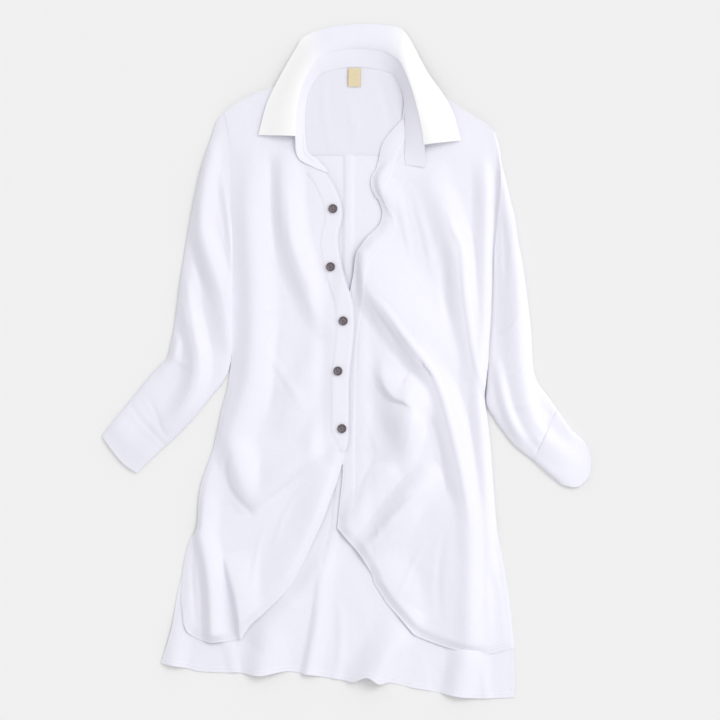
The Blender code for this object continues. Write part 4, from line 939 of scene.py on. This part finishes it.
def make_sleeve(side, seed):
    """A sleeve from its armhole to the cuff seam, and the cuff that goes on from there."""
    outer, inner = smooth_curve(side.outer), smooth_curve(side.inner)
    armhole = smooth_curve([(x + side.gap, y) for x, y in side.armhole_edge])
    armhole[0], armhole[-1] = outer[0], inner[0]
    run = np.subtract(side.cuff_outer[-1], side.cuff_outer[0])
    wrist = np.array([outer[-1], inner[-1]])
    cuff_start = wrist - CUFF_OVERLAP * run / np.linalg.norm(run)
    cuff_outer = smooth_curve((tuple(cuff_start[0]),) + side.cuff_outer[1:])
    cuff_inner = smooth_curve((tuple(cuff_start[1]),) + side.cuff_inner[1:])
    cuff_end = smooth_curve(side.cuff_end)
    down = steps_to(curve_length(outer), CELL, near_end=(0.0, 0.8, 1.6, 2.6, 4.0))
    snug = smoothstep(*side.leaves, along(inner, down)[:, 1])
    long_sides, cuff_sides = [outer, inner], [cuff_outer, cuff_inner]
    edges = [(snug, OUTER_EDGE, SNUG_EDGE), (1.0 - snug, OUTER_EDGE, INNER_EDGE)]
    if side.name == "right":
        long_sides.reverse()
        edges = [(weight, east, west) for weight, west, east in edges]
        cuff_sides.reverse()
        armhole, wrist = armhole[::-1], wrist[::-1]
        cuff_start, cuff_end = cuff_start[::-1], cuff_end[::-1]
    sleeve, _ = flat_tube("sleeve_%s_tube" % side.name, *long_sides, armhole, wrist,
                          sleeve_height(side, seed), LINEN_LOOK, down, edges, 1.0)
    cuff_down = steps_to(curve_length(cuff_outer), CELL, near_start=(0.0, 0.6, 1.4, 2.4, 4.0),
                         near_end=(0.0, 0.6, 1.4, 2.4, 3.4, 5.0))
    cuff, cuff_top = flat_tube("cuff_%s_band" % side.name, *cuff_sides, cuff_start, cuff_end,
                               cuff_height(side, seed), CUFF_LOOK, cuff_down,
                               [(np.ones(len(cuff_down)), CUFF_EDGE, CUFF_EDGE)])
    return sleeve, cuff, cuff_top


# Collar

def collar_curves(part):
    return smooth_curve([getattr(station, part) for station in COLLAR], COLLAR_SPAN)


def make_collar():
    """The band from the neck seam to the roll, and the leaf from there to its free edge."""
    seam, roll = collar_curves("seam"), collar_curves("roll")
    share = steps_to(BAND_LENGTH, 1.7, near_start=(0.0, 0.7, 1.5, 2.4, 4.0))[None, :, None]
    band = (1 - share) * seam[:, None, :] + share * roll[:, None, :]
    leaning = np.linalg.norm((roll - seam)[:, :2], axis=1)
    outward = (roll - seam)[:, :2] / np.maximum(leaning, 1e-6)[:, None]
    band[..., :2] -= BAND_BOW * np.sin(math.pi * share) * outward[:, None, :]
    from_seam = share[0, :, 0] * BAND_LENGTH
    thick = COLLAR_LOOK / 2 - STITCH_SINK * bell(from_seam - BAND_STITCH, GROOVE)
    thick -= 0.5 * np.exp(-from_seam / 1.6)
    band = band[:, ::-1]
    piece = cloth_wall("collar_stand", band, -COLLAR_LOOK / 2, thick[::-1][None, :])

    with_leaf = [station for station in COLLAR if station.edge]
    edge = smooth_curve([station.edge for station in with_leaf], COLLAR_SPAN)
    first = COLLAR_SPAN * COLLAR.index(with_leaf[0])
    seam, roll = seam[first:first + len(edge)], roll[first:first + len(edge)]
    outward = edge[:, :2] - seam[:, :2]
    outward /= np.linalg.norm(outward, axis=1, keepdims=True)
    steepness = (roll[:, 2] - seam[:, 2]) / np.linalg.norm(roll - seam, axis=1)
    start = roll.copy()
    start[:, :2] -= LEAF_OVERLAP * outward
    start[:, 2] += 0.2 + LEAF_OVERLAP * steepness
    length = float(np.linalg.norm(edge - roll, axis=1).mean())
    share = steps_to(length, 2.2, near_start=(0.0, 0.8, 1.8, 3.0),
                     near_end=(0.0, 0.7, 1.5, 2.6, 3.6, 4.3, 5.0, 5.7, 6.6, 8.0))[None, :, None]
    leaf = (1 - share) * start[:, None, :] + share * edge[:, None, :]
    leaf[..., 2] += LEAF_ARCH * LEAF_ARCH_SCALE * share[..., 0] * (1.0 - share[..., 0]) ** 2
    from_edge = (1.0 - share[0, :, 0]) * length
    rows = travel_along(edge)
    from_end = np.minimum(rows, rows[-1] - rows)
    inside = np.minimum(from_edge[None, :], from_end[:, None])
    groove = bell(inside - COLLAR_STITCH, GROOVE)
    wave = np.sin(math.tau * rows / PUCKER_LENGTH)[:, None] * bell(inside - COLLAR_STITCH, 3.0)
    thick = COLLAR_LOOK / 2 - STITCH_SINK * groove + 0.5 * PUCKER * wave - 0.35 * np.exp(-inside / 0.8)
    leaf, thick = leaf[:, ::-1], thick[:, ::-1]
    leaf_piece = cloth_wall("collar_fall", leaf, -COLLAR_LOOK / 2, thick)
    return piece, leaf_piece, band, leaf


# Buttons and label

def points_under(piece, x, y):
    """Offsets and heights of a piece's upper face under a button at x, y."""
    points = []
    for ring in (0.0, 0.5, 1.0):
        for step in range(16):
            angle = math.tau * step / 16
            east = ring * BUTTON_DIAMETER / 2 * math.cos(angle)
            north = ring * BUTTON_DIAMETER / 2 * math.sin(angle)
            start = Vector((x + east, y + north, FEEL_FROM)) * MM
            _, place, _, _ = piece.ray_cast(start, Vector((0.0, 0.0, -1.0)))
            points.append((east, north, place.z / MM))
    return np.array(points)


def button_disc():
    """Turned button with a soft rim, a shallow dish and four drilled holes, in metres."""
    radius = BUTTON_DIAMETER / 2
    tall = BUTTON_THICKNESS
    profile = ((0.0, 0.25), (2.6, 0.1), (radius - 1.3, 0.0), (radius - 0.5, 0.25), (radius - 0.1, 0.8),
               (radius, 1.3), (radius - 0.05, tall - 0.8), (radius - 0.35, tall - 0.25),
               (radius - 0.9, tall), (radius - 1.5, tall - 0.1), (radius - 2.0, tall - 0.55),
               (radius - 2.5, tall - 0.95), (radius - 3.1, tall - 1.1), (1.6, tall - 1.0),
               (0.0, tall - 0.95))
    mesh = bmesh.new()
    verts = [mesh.verts.new((x * MM, 0.0, z * MM)) for x, z in profile]
    edges = [mesh.edges.new(pair) for pair in zip(verts, verts[1:])]
    bmesh.ops.spin(mesh, geom=verts + edges, cent=(0, 0, 0), axis=(0, 0, 1), angle=math.tau,
                   steps=40, use_merge=True)
    bmesh.ops.remove_doubles(mesh, verts=mesh.verts, dist=1e-6)
    bmesh.ops.recalc_face_normals(mesh, faces=mesh.faces)
    disc = bpy.data.meshes.new("button_disc")
    mesh.to_mesh(disc)
    mesh.free()
    blank = add_object("button_blank", disc)
    drills = []
    for corner in range(4):
        angle = math.pi / 4 + corner * math.pi / 2
        reach = BUTTON_HOLE_SPACING / math.sqrt(2) * MM
        bpy.ops.mesh.primitive_cylinder_add(vertices=14, radius=BUTTON_HOLE / 2 * MM, depth=4 * tall * MM)
        drill = bpy.context.active_object
        drill.location = (reach * math.cos(angle), reach * math.sin(angle), 0.0)
        cut = blank.modifiers.new("Drill", "BOOLEAN")
        cut.object = drill
        drills.append(drill)
    return finished_mesh(blank, *drills)


def thread_loops():
    """Four thread runs through the holes, crossed on top, and the shank below, in metres."""
    curve = bpy.data.curves.new("button_thread", "CURVE")
    curve.dimensions = "3D"
    curve.bevel_depth = 0.33 * MM
    curve.bevel_resolution = 2
    curve.use_fill_caps = True
    reach = BUTTON_HOLE_SPACING / 2
    floor = BUTTON_THICKNESS - 1.0
    for turn, side in ((0.0, -0.28), (0.0, 0.28), (math.pi / 2, -0.28), (math.pi / 2, 0.28)):
        low, high = 0.3, floor + (0.25 if turn == 0.0 else 0.75)
        run = ((-reach - 0.1, 0.3), (-reach, low + 0.8), (-reach, floor - 0.2), (-reach + 0.35, high),
               (0.0, high + 0.12), (reach - 0.35, high), (reach, floor - 0.2), (reach, low + 0.8),
               (reach + 0.1, 0.3))
        spline = curve.splines.new("NURBS")
        spline.points.add(len(run) - 1)
        diagonal = turn + math.pi / 4
        for point, (travel, height) in zip(spline.points, run):
            out = travel * math.sqrt(2)
            point.co = ((out * math.cos(diagonal) - side * math.sin(diagonal)) * MM,
                        (out * math.sin(diagonal) + side * math.cos(diagonal)) * MM, height * MM, 1.0)
        spline.use_endpoint_u = True
        spline.order_u = 3
    return finished_mesh(add_object("thread_blank", curve))


def placed_copy(name, mesh, matrix):
    """Copy of a mesh moved to its place, with its own shape kept as a map for its pattern."""
    copy = mesh.copy()
    layer = copy.uv_layers.get("cut") or copy.uv_layers.new(name="cut")
    for loop, spot in zip(copy.loops, layer.data):
        spot.uv = copy.vertices[loop.vertex_index].co.xy
    copy.transform(matrix)
    copy.shade_smooth()
    return add_object(name, copy)


def make_buttons(placket):
    disc, thread = button_disc(), thread_loops()
    laid = evaluated(placket)
    made = []
    for number, (x, y) in enumerate(BUTTONS, start=1):
        under = points_under(laid, x, y)
        terms = np.column_stack([under[:, :2], np.ones(len(under))])
        slope_x, slope_y, height = np.linalg.lstsq(terms, under[:, 2], rcond=None)[0]
        highest = (under[:, 2] - terms @ (slope_x, slope_y, height)).max()
        normal = Vector((-slope_x, -slope_y, 1.0)).normalized()
        place = (Vector((x, y, height)) + normal * (highest + BUTTON_SEAT)) * MM
        matrix = Vector((0, 0, 1)).rotation_difference(normal).to_matrix().to_4x4()
        matrix.translation = place
        made.append((placed_copy("button_%d_disc" % number, disc, matrix),
                     placed_copy("button_%d_thread" % number, thread, matrix), number))
    return made


def make_label():
    """Woven label on the yoke: a thin folded tab with rounded long edges."""
    corner_x, corner_y = LABEL_CORNER
    across = steps_to(LABEL_WIDTH, 0.9, near_start=TAB_STEPS, near_end=TAB_STEPS)
    down = steps_to(LABEL_LENGTH, 0.9, near_start=TAB_STEPS, near_end=TAB_STEPS)
    u, v = np.meshgrid(across, down)
    x = corner_x + LABEL_WIDTH * u + 0.15 * np.sin(7.0 * v)
    y = corner_y - LABEL_LENGTH * v
    z = YOKE_CLOTH + 0.25 + 0.28 * np.sin(math.pi * v) + 0.1 * np.sin(9.0 * u + 2.0 * v)
    grid = np.dstack([x, y, z])
    return cloth_wall("neck_label_tab", grid, 0.0, 0.65), grid


# Stitches

def lifted(points):
    """Points raised a little, so that a thread lies half in the cloth."""
    raised = np.array(points, dtype=float)
    raised[..., 2] += THREAD_LIFT
    return raised


def offset_line(line, distance):
    """Plan line moved sideways: to the east of its run where distance is above zero."""
    step = np.gradient(line[:, :2], axis=0)
    step /= np.maximum(np.linalg.norm(step, axis=1, keepdims=True), 1e-9)
    return line[:, :2] + distance * np.column_stack([-step[:, 1], step[:, 0]])


def stitch_tree(material):
    """Geometry Nodes that set one thread stitch after another along lines of edges."""
    tree = bpy.data.node_groups.new("Row of stitches", "GeometryNodeTree")
    face = tree.interface
    face.new_socket("Geometry", in_out="INPUT", socket_type="NodeSocketGeometry")
    for name, value in (("Pitch", 2.9 * MM), ("Stitch length", 2.1 * MM), ("Thread radius", 0.24 * MM)):
        socket = face.new_socket(name, in_out="INPUT", socket_type="NodeSocketFloat")
        socket.default_value = value
    face.new_socket("Geometry", in_out="OUTPUT", socket_type="NodeSocketGeometry")
    kinds = {"given": "NodeGroupInput", "result": "NodeGroupOutput", "curve": "GeometryNodeMeshToCurve",
             "spaced": "GeometryNodeResampleCurve", "ball": "GeometryNodeMeshUVSphere",
             "sizes": "ShaderNodeCombineXYZ", "half": "ShaderNodeMath", "stitch": "GeometryNodeTransform",
             "tangent": "GeometryNodeInputTangent", "turn": "FunctionNodeAlignRotationToVector",
             "place": "GeometryNodeInstanceOnPoints", "real": "GeometryNodeRealizeInstances",
             "smooth": "GeometryNodeSetShadeSmooth", "dyed": "GeometryNodeSetMaterial"}
    nodes = {name: tree.nodes.new(kind) for name, kind in kinds.items()}
    nodes["spaced"].mode = "LENGTH"
    nodes["turn"].axis = "Z"
    nodes["half"].operation = "MULTIPLY"
    for node, socket, value in (("ball", "Segments", 6), ("ball", "Rings", 4), ("ball", "Radius", 1.0),
                                ("half", 1, 0.5), ("dyed", "Material", material)):
        nodes[node].inputs[socket].default_value = value
    for source, output, target, socket in (
            ("given", "Geometry", "curve", "Mesh"), ("curve", "Curve", "spaced", "Curve"),
            ("given", "Pitch", "spaced", "Length"), ("given", "Stitch length", "half", 0),
            ("given", "Thread radius", "sizes", "X"), ("given", "Thread radius", "sizes", "Y"),
            ("half", 0, "sizes", "Z"), ("ball", "Mesh", "stitch", "Geometry"),
            ("sizes", "Vector", "stitch", "Scale"), ("spaced", "Curve", "place", "Points"),
            ("stitch", "Geometry", "place", "Instance"), ("tangent", "Tangent", "turn", "Vector"),
            ("turn", "Rotation", "place", "Rotation"), ("place", "Instances", "real", "Geometry"),
            ("real", "Geometry", "smooth", "Geometry"), ("smooth", "Geometry", "dyed", "Geometry"),
            ("dyed", "Geometry", "result", "Geometry")):
        tree.links.new(nodes[source].outputs[output], nodes[target].inputs[socket])
    return tree


def sew(name, tree, lines):
    """One mesh of stitches along several lines of points in millimetres."""
    verts, edges = [], []
    for line in lines:
        start = len(verts)
        verts.extend((np.asarray(line) * MM).tolist())
        edges.extend((start + step, start + step + 1) for step in range(len(line) - 1))
    guide_mesh = bpy.data.meshes.new(name + "_guide")
    guide_mesh.from_pydata(verts, edges, [])
    guide = add_object(name + "_guide", guide_mesh)
    guide.modifiers.new("Sewing", "NODES").node_group = tree
    return add_object(name, finished_mesh(guide))


# Materials

class Wire:
    """A number in a shader: Python's operators on it add Math nodes."""

    def __init__(self, paint, socket):
        self.paint = paint
        self.socket = socket

    def __add__(self, other):
        return self.paint.math("ADD", self, other)

    def __sub__(self, other):
        return self.paint.math("SUBTRACT", self, other)

    def __rsub__(self, other):
        return self.paint.math("SUBTRACT", other, self)

    def __mul__(self, other):
        return self.paint.math("MULTIPLY", self, other)

    def __truediv__(self, other):
        return self.paint.math("DIVIDE", self, other)

    def __rtruediv__(self, other):
        return self.paint.math("DIVIDE", other, self)

    __radd__ = __add__
    __rmul__ = __mul__


class Paint:
    """A material on the Principled shader, whose fixed values go on its own sockets."""

    def __init__(self, name, fixed):
        self.material = bpy.data.materials.new(name)
        self.material.use_nodes = True
        self.tree = self.material.node_tree
        self.shader = self.tree.nodes["Principled BSDF"]
        for socket, value in fixed.items():
            self.shader.inputs[socket].default_value = value

    def node(self, kind, settings=None, values=None):
        made = self.tree.nodes.new(kind)
        for name, value in (settings or {}).items():
            setattr(made, name, value)
        for name, value in (values or {}).items():
            self.plug(made.inputs[name], value)
        return made

    def plug(self, socket, value):
        if isinstance(value, Wire):
            self.tree.links.new(value.socket, socket)
        elif isinstance(value, bpy.types.NodeSocket):
            self.tree.links.new(value, socket)
        else:
            socket.default_value = value

    def math(self, operation, first, second=0.0):
        made = self.node("ShaderNodeMath", {"operation": operation}, {0: first, 1: second})
        return Wire(self, made.outputs[0])

    def cut_map(self):
        """Place on the cut cloth: across and along it, in metres."""
        split = self.node("ShaderNodeSeparateXYZ", values={
            0: self.node("ShaderNodeUVMap", {"uv_map": "cut"}).outputs["UV"]})
        return Wire(self, split.outputs["X"]), Wire(self, split.outputs["Y"])

    def noise(self, x, y, detail, z=0.0):
        place = self.node("ShaderNodeCombineXYZ", values={0: x, 1: y, 2: z})
        made = self.node("ShaderNodeTexNoise", values={
            "Vector": place.outputs["Vector"], "Scale": 1.0, "Detail": detail})
        return Wire(self, made.outputs["Fac"])

    def mix(self, share, first, second):
        made = self.node("ShaderNodeMix", {"data_type": "RGBA"}, {0: share, 6: first, 7: second})
        return made.outputs[2]

    def raise_by(self, height):
        """Bump of a height in metres."""
        bump = self.node("ShaderNodeBump", values={"Height": height, "Distance": 1.0, "Strength": 1.0})
        self.plug(self.shader.inputs["Normal"], bump.outputs["Normal"])


def linen_paint(name, crumple, painted_light_from=None, shade_tone=1.0):
    """Plain weave with slubs, and the small uneven surface of washed linen."""
    # The tone factor darkens every colour when it is below one: painted shade, for cloth that lies in shade
    shade, light = ((shade_tone * red, shade_tone * green, shade_tone * blue, 1.0)
                    for red, green, blue in LINEN_SHADES)
    paint = Paint(name, {"Sheen Weight": 0.12, "Sheen Roughness": 0.5, "Specular IOR Level": 0.25})
    across, along_cloth = paint.cut_map()
    warp_wave = paint.math("SINE", across * (math.pi / (WEAVE_SPACING * MM)))
    weft_wave = paint.math("SINE", along_cloth * (math.pi / (WEAVE_SPACING * MM)))
    on_top = warp_wave * weft_wave * 0.5 + 0.5
    weave = (paint.math("ABSOLUTE", warp_wave) * on_top
             + paint.math("ABSOLUTE", weft_wave) * (1.0 - on_top))
    weft_slub = paint.noise(across * 22.0, along_cloth * 950.0, detail=1.0)
    warp_slub = paint.noise(across * 950.0, along_cloth * 18.0, detail=1.0, z=3.0)
    slub = weft_slub * 0.5 + warp_slub * 0.5
    soft = paint.noise(across * 55.0, along_cloth * 38.0, detail=3.0, z=7.0)
    tint = (slub - 0.5) * 0.30 + 0.5 + (weave - 0.6) * 0.10
    colour = paint.mix(tint, shade, light)
    # Painted light: away from the collar's middle the colour turns a paler, more neutral white. This is
    # partly the doubled cloth and partly stands in for light on leaves that face away from the lamps.
    if painted_light_from:
        middle, start, end = (value * MM for value in painted_light_from)
        place = paint.node("ShaderNodeSeparateXYZ", values={
            0: paint.node("ShaderNodeTexCoord").outputs["Object"]})
        from_middle = paint.math("ABSOLUTE", Wire(paint, place.outputs["X"]) - middle)
        share = paint.node("ShaderNodeMapRange", {"interpolation_type": "SMOOTHSTEP"}, {
            "Value": from_middle, "From Min": start, "From Max": end})
        whiter_and_lit = paint.mix(tint, *WHITER_AND_LIT_SHADES)
        colour = paint.mix(Wire(paint, share.outputs["Result"]), colour, whiter_and_lit)
    paint.plug(paint.shader.inputs["Base Color"], colour)
    paint.plug(paint.shader.inputs["Roughness"], 0.78 + (0.5 - weave) * 0.12)
    paint.raise_by(weave * (0.10 * MM) + slub * (0.16 * MM) + soft * (crumple * MM))
    return paint.material


def thread_paint(name, colour):
    paint = Paint(name, {"Sheen Weight": 0.1, "Specular IOR Level": 0.35})
    place = paint.node("ShaderNodeTexCoord").outputs["Object"]
    twist = paint.node("ShaderNodeTexNoise", values={"Vector": place, "Scale": 2600.0, "Detail": 1.0})
    fibre = Wire(paint, twist.outputs["Fac"])
    darker = tuple(channel * 0.82 for channel in colour[:3]) + (1.0,)
    paint.plug(paint.shader.inputs["Base Color"], paint.mix(fibre, darker, colour))
    paint.plug(paint.shader.inputs["Roughness"], 0.45 + fibre * 0.2)
    paint.raise_by(fibre * (0.05 * MM))
    return paint.material


def button_paint():
    """Dark resin with a smoky swirl and a painted sheen that makes its dish paler, polished."""
    paint = Paint("Smoky button resin", {"Coat Weight": 0.5, "Coat Roughness": 0.12, "IOR": 1.52})
    across, along_face = paint.cut_map()
    radius = paint.math("SQRT", across * across + along_face * along_face) / (BUTTON_DIAMETER / 2 * MM)
    swirl = paint.noise(across * 260.0 + along_face * 90.0, along_face * 420.0, detail=4.0)
    # Painted sheen: the dish, inside about seven tenths of the radius, is mixed towards a paler colour
    sheen_share = paint.math("MINIMUM", paint.math("MAXIMUM", (0.72 - radius) * 2.2, 0.0), 1.0)
    body = paint.mix(swirl, *RESIN_SHADES)
    painted_sheen = paint.mix(swirl, *PAINTED_SHEEN_SHADES)
    paint.plug(paint.shader.inputs["Base Color"], paint.mix(sheen_share * 0.75, body, painted_sheen))
    paint.plug(paint.shader.inputs["Roughness"], 0.22 + swirl * 0.25)
    paint.raise_by(swirl * (0.03 * MM))
    return paint.material


def label_paint():
    """Beige woven tape with a fine rib and a slightly darker selvedge."""
    paint = Paint("Beige woven tape", {"Sheen Weight": 0.15, "Specular IOR Level": 0.3})
    across, along_tape = paint.cut_map()
    rib = paint.math("ABSOLUTE", paint.math("SINE", along_tape * (math.pi / (0.42 * MM))))
    thread = paint.math("ABSOLUTE", paint.math("SINE", across * (math.pi / (0.3 * MM))))
    from_middle = paint.math("ABSOLUTE", across)
    selvedge = paint.math("GREATER_THAN", from_middle, (LABEL_WIDTH / 2 - 1.1) * MM)
    cloud = paint.noise(across * 260.0, along_tape * 170.0, detail=3.0)
    ground = paint.mix(cloud * 0.6 + rib * 0.25, *TAPE_SHADES)
    paint.plug(paint.shader.inputs["Base Color"], paint.mix(selvedge * 0.5, ground, SELVEDGE_SHADE))
    paint.plug(paint.shader.inputs["Roughness"], 0.62 + thread * 0.15)
    paint.raise_by(rib * (0.07 * MM) + thread * (0.04 * MM))
    return paint.material


def floor_paint():
    paint = Paint("Pale studio floor", {"Roughness": 0.9, "Specular IOR Level": 0.1})
    place = paint.node("ShaderNodeTexCoord").outputs["Object"]
    grain = paint.node("ShaderNodeTexNoise", values={"Vector": place, "Scale": 3.0, "Detail": 2.0})
    paint.plug(paint.shader.inputs["Base Color"],
               paint.mix(Wire(paint, grain.outputs["Fac"]), *FLOOR_SHADES))
    return paint.material


# Sewing lines

def upper_face(piece, grid):
    """Points of a wall's upper face, in the rows and columns of the grid that it was made on."""
    rows, columns = grid.shape[:2]
    places = np.empty(3 * len(piece.data.vertices))
    piece.data.vertices.foreach_get("co", places)
    return places.reshape(-1, 3)[:rows * columns].reshape(rows, columns, 3) / MM


def on_piece(piece, surface, line):
    """Runs of a plan line where it meets a piece's upper face, as the surface shifts it."""
    x, y, _ = surface(line[:, 0], line[:, 1])
    runs, run = [], []
    for east, north in zip(x, y):
        found, place, _, _ = piece.ray_cast(Vector((east, north, FEEL_FROM)) * MM, Vector((0, 0, -1)))
        if found:
            run.append((east, north, place.z / MM + THREAD_LIFT))
        elif run:
            runs.append(np.array(run))
            run = []
    return [found for found in runs + [np.array(run)] if len(found) > 2]


def inside_line(line, distance, trim=6.0):
    """Plan line beside another, with its ends cut back."""
    moved = offset_line(line, distance)
    fine = along(moved, even(round(curve_length(moved) / LINE_STEP)))
    count = round(trim / LINE_STEP)
    return fine[count:-count]


def as_is(x, y):
    return x, y, np.zeros(len(x))


def collar_lines(stand, stand_grid, fall, fall_grid):
    face = lifted(upper_face(fall, fall_grid))
    travel = travel_along(face[:, COLLAR_STITCH_COLUMN])
    first = int(np.searchsorted(travel, COLLAR_STITCH))
    last = int(np.searchsorted(travel, travel[-1] - COLLAR_STITCH))
    lines = [face[first, :COLLAR_STITCH_COLUMN:-1], face[first:last + 1, COLLAR_STITCH_COLUMN],
             face[last, COLLAR_STITCH_COLUMN:]]
    band = upper_face(stand, stand_grid)
    return lines + [band[3:-3, 3], band[3:-3, -4]]


# Room, light and camera

def hang(name, light, place, target):
    """A lamp at a place, turned towards a target."""
    lamp = add_object(name, light)
    lamp.location = place
    lamp.rotation_euler = (Vector(target) - lamp.location).to_track_quat("-Z", "Y").to_euler()
    return lamp


def make_room():
    bpy.ops.mesh.primitive_plane_add(size=FLOOR_SIZE, location=(0.0, 0.0, -FLOOR_DROP))
    floor = bpy.context.active_object
    floor.name = "studio_floor"
    floor.data.materials.append(floor_paint())
    world = bpy.data.worlds.new("Soft white room")
    world.use_nodes = True
    world.node_tree.nodes["Background"].inputs["Color"].default_value = (1.0, 1.0, 1.0, 1.0)
    world.node_tree.nodes["Background"].inputs["Strength"].default_value = ROOM_LIGHT
    bpy.context.scene.world = world
    window = bpy.data.lights.new("Window", "SUN")
    window.energy = WINDOW_LIGHT
    window.angle = math.radians(WINDOW_SOFTNESS)
    panel = bpy.data.lights.new("Side panel", "AREA")
    panel.energy = SIDE_LIGHT
    panel.shape = "DISK"
    panel.size = PANEL_SIZE
    hang("Window", window, WINDOW_FROM, (0.0, 0.0, 0.0))
    side = hang("Side panel", panel, SIDE_LIGHT_FROM, SIDE_LIGHT_AT)
    side.light_linking.receiver_collection = bpy.data.collections["Dress"]
    camera = add_object("Camera", bpy.data.cameras.new("Camera"))
    camera.data.lens = LENS
    camera.data.sensor_width = SENSOR
    camera.location = (PICTURE_CENTRE[0] * MM, PICTURE_CENTRE[1] * MM, PICTURE_WIDTH * MM * LENS / SENSOR)
    bpy.context.scene.camera = camera
    bpy.context.scene.view_settings.view_transform = "Standard"
    bpy.context.scene.view_settings.look = "None"


def wear(piece, material, slot, *nodes):
    """Gives a piece its finish, and hides the solids that it stands for.  Its record slot is not used."""
    piece.data.materials.clear()
    piece.data.materials.append(material)
    bpy.data.collections["Dress"].objects.link(piece)
    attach(piece, "root")
    if nodes:
        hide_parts(*nodes)


def main():
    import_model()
    bpy.data.collections.new("Dress")
    linen = linen_paint("Washed white linen", 0.45)
    firm_linen = linen_paint("Interlined white linen", 0.2)
    # The yoke, seen inside the neck opening, gets a darker copy of the linen: painted shade
    shaded_inner_linen = linen_paint("Inside white linen in painted shade", 0.3, shade_tone=0.955)
    collar_linen = linen_paint("Doubled white linen with painted light", 0.2, painted_light_from=COLLAR_PAINTED_LIGHT)
    white_thread = thread_paint("White sewing thread", (0.93, 0.93, 0.96, 1.0))
    button_thread = thread_paint("Grey button thread", (0.20, 0.17, 0.18, 1.0))
    resin, tape = button_paint(), label_paint()

    back, back_hem = make_back()
    yoke = make_yoke()
    (west, west_strip, west_grid, west_hem), (east, east_strip, east_grid, east_hem) = make_fronts()
    sleeves = [make_sleeve(side, 5.0 + number) for number, side in enumerate(SIDES)]
    stand, fall, stand_grid, fall_grid = make_collar()
    label, label_grid = make_label()

    wear(back, linen, "linen", "back")
    wear(yoke, shaded_inner_linen, "linen", "yoke")
    wear(west, linen, "linen", "front_left")
    wear(east, linen, "linen", "front_right")
    wear(west_strip, firm_linen, "linen", "placket_left")
    wear(east_strip, firm_linen, "linen", "placket_right")
    for (sleeve, cuff, _), side in zip(sleeves, SIDES):
        wear(sleeve, linen, "linen", "sleeve_%s" % side.name)
        wear(cuff, firm_linen, "linen", "cuff_%s" % side.name)
    wear(stand, firm_linen, "linen", "collar_band")
    wear(fall, collar_linen, "linen", "collar_leaf")
    wear(label, tape, "label", "neck_label")
    for disc, thread, number in make_buttons(west_strip):
        wear(disc, resin, "button", "button_%d" % number)
        wear(thread, button_thread, "button")

    bpy.context.view_layer.update()
    tree = stitch_tree(white_thread)
    hems = on_piece(back, back_surface, inside_line(back_hem, HEM_STITCH))
    for slit, inward in ((BODY_WEST[2:] + BACK_TAIL_WEST, HEM_STITCH),
                         (BODY_EAST[1:] + BACK_TAIL_EAST, -HEM_STITCH)):
        line = smooth_curve(slit)
        hems += on_piece(back, back_surface, inside_line(line[line[:, 1] < SLIT_TOP_Y], inward))
    hems += on_piece(west, west_front_surface, inside_line(west_hem, -HEM_STITCH, 2.0))
    hems += on_piece(east, east_front_surface, inside_line(east_hem, HEM_STITCH))
    wear(sew("stitching_hems", tree, hems), white_thread, "linen")

    plackets = []
    for strip, grid in ((west_strip, west_grid), (east_strip, east_grid)):
        face = upper_face(strip, grid)
        plackets += [lifted(face[1:-10, column]) for column in (3, -4)]
    wear(sew("stitching_plackets", tree, plackets), white_thread, "linen")

    yoke_seam = np.array([(-60.0, YOKE_SEAM_Y + YOKE_STITCH), (92.0, YOKE_SEAM_Y + YOKE_STITCH)])
    seams = on_piece(yoke, as_is, along(yoke_seam, even(40)))
    for front, surface, seam, inward in (
            (west, west_front_surface, SHOULDER_WEST, -SEAM_STITCH),
            (east, east_front_surface, SHOULDER_EAST, -SEAM_STITCH),
            (west, west_front_surface, BODY_WEST[:5], SEAM_STITCH),
            (east, east_front_surface, BODY_EAST[:4], -SEAM_STITCH)):
        seams += on_piece(front, surface, inside_line(smooth_curve(seam), inward))
    wear(sew("stitching_seams", tree, seams), white_thread, "linen")

    cuffs = []
    for _, _, top in sleeves:
        cuffs += [lifted(top[row, 4:-4]) for row in (3, -4)]
    wear(sew("stitching_cuffs", tree, cuffs), white_thread, "linen")
    collar = collar_lines(stand, stand_grid, fall, fall_grid)
    wear(sew("stitching_collar", tree, collar), white_thread, "linen")
    face = lifted(upper_face(label, label_grid))
    wear(sew("stitching_label", tree, [face[2, 2:-2], face[-3, 2:-2]]), white_thread, "label")

    make_room()


main()
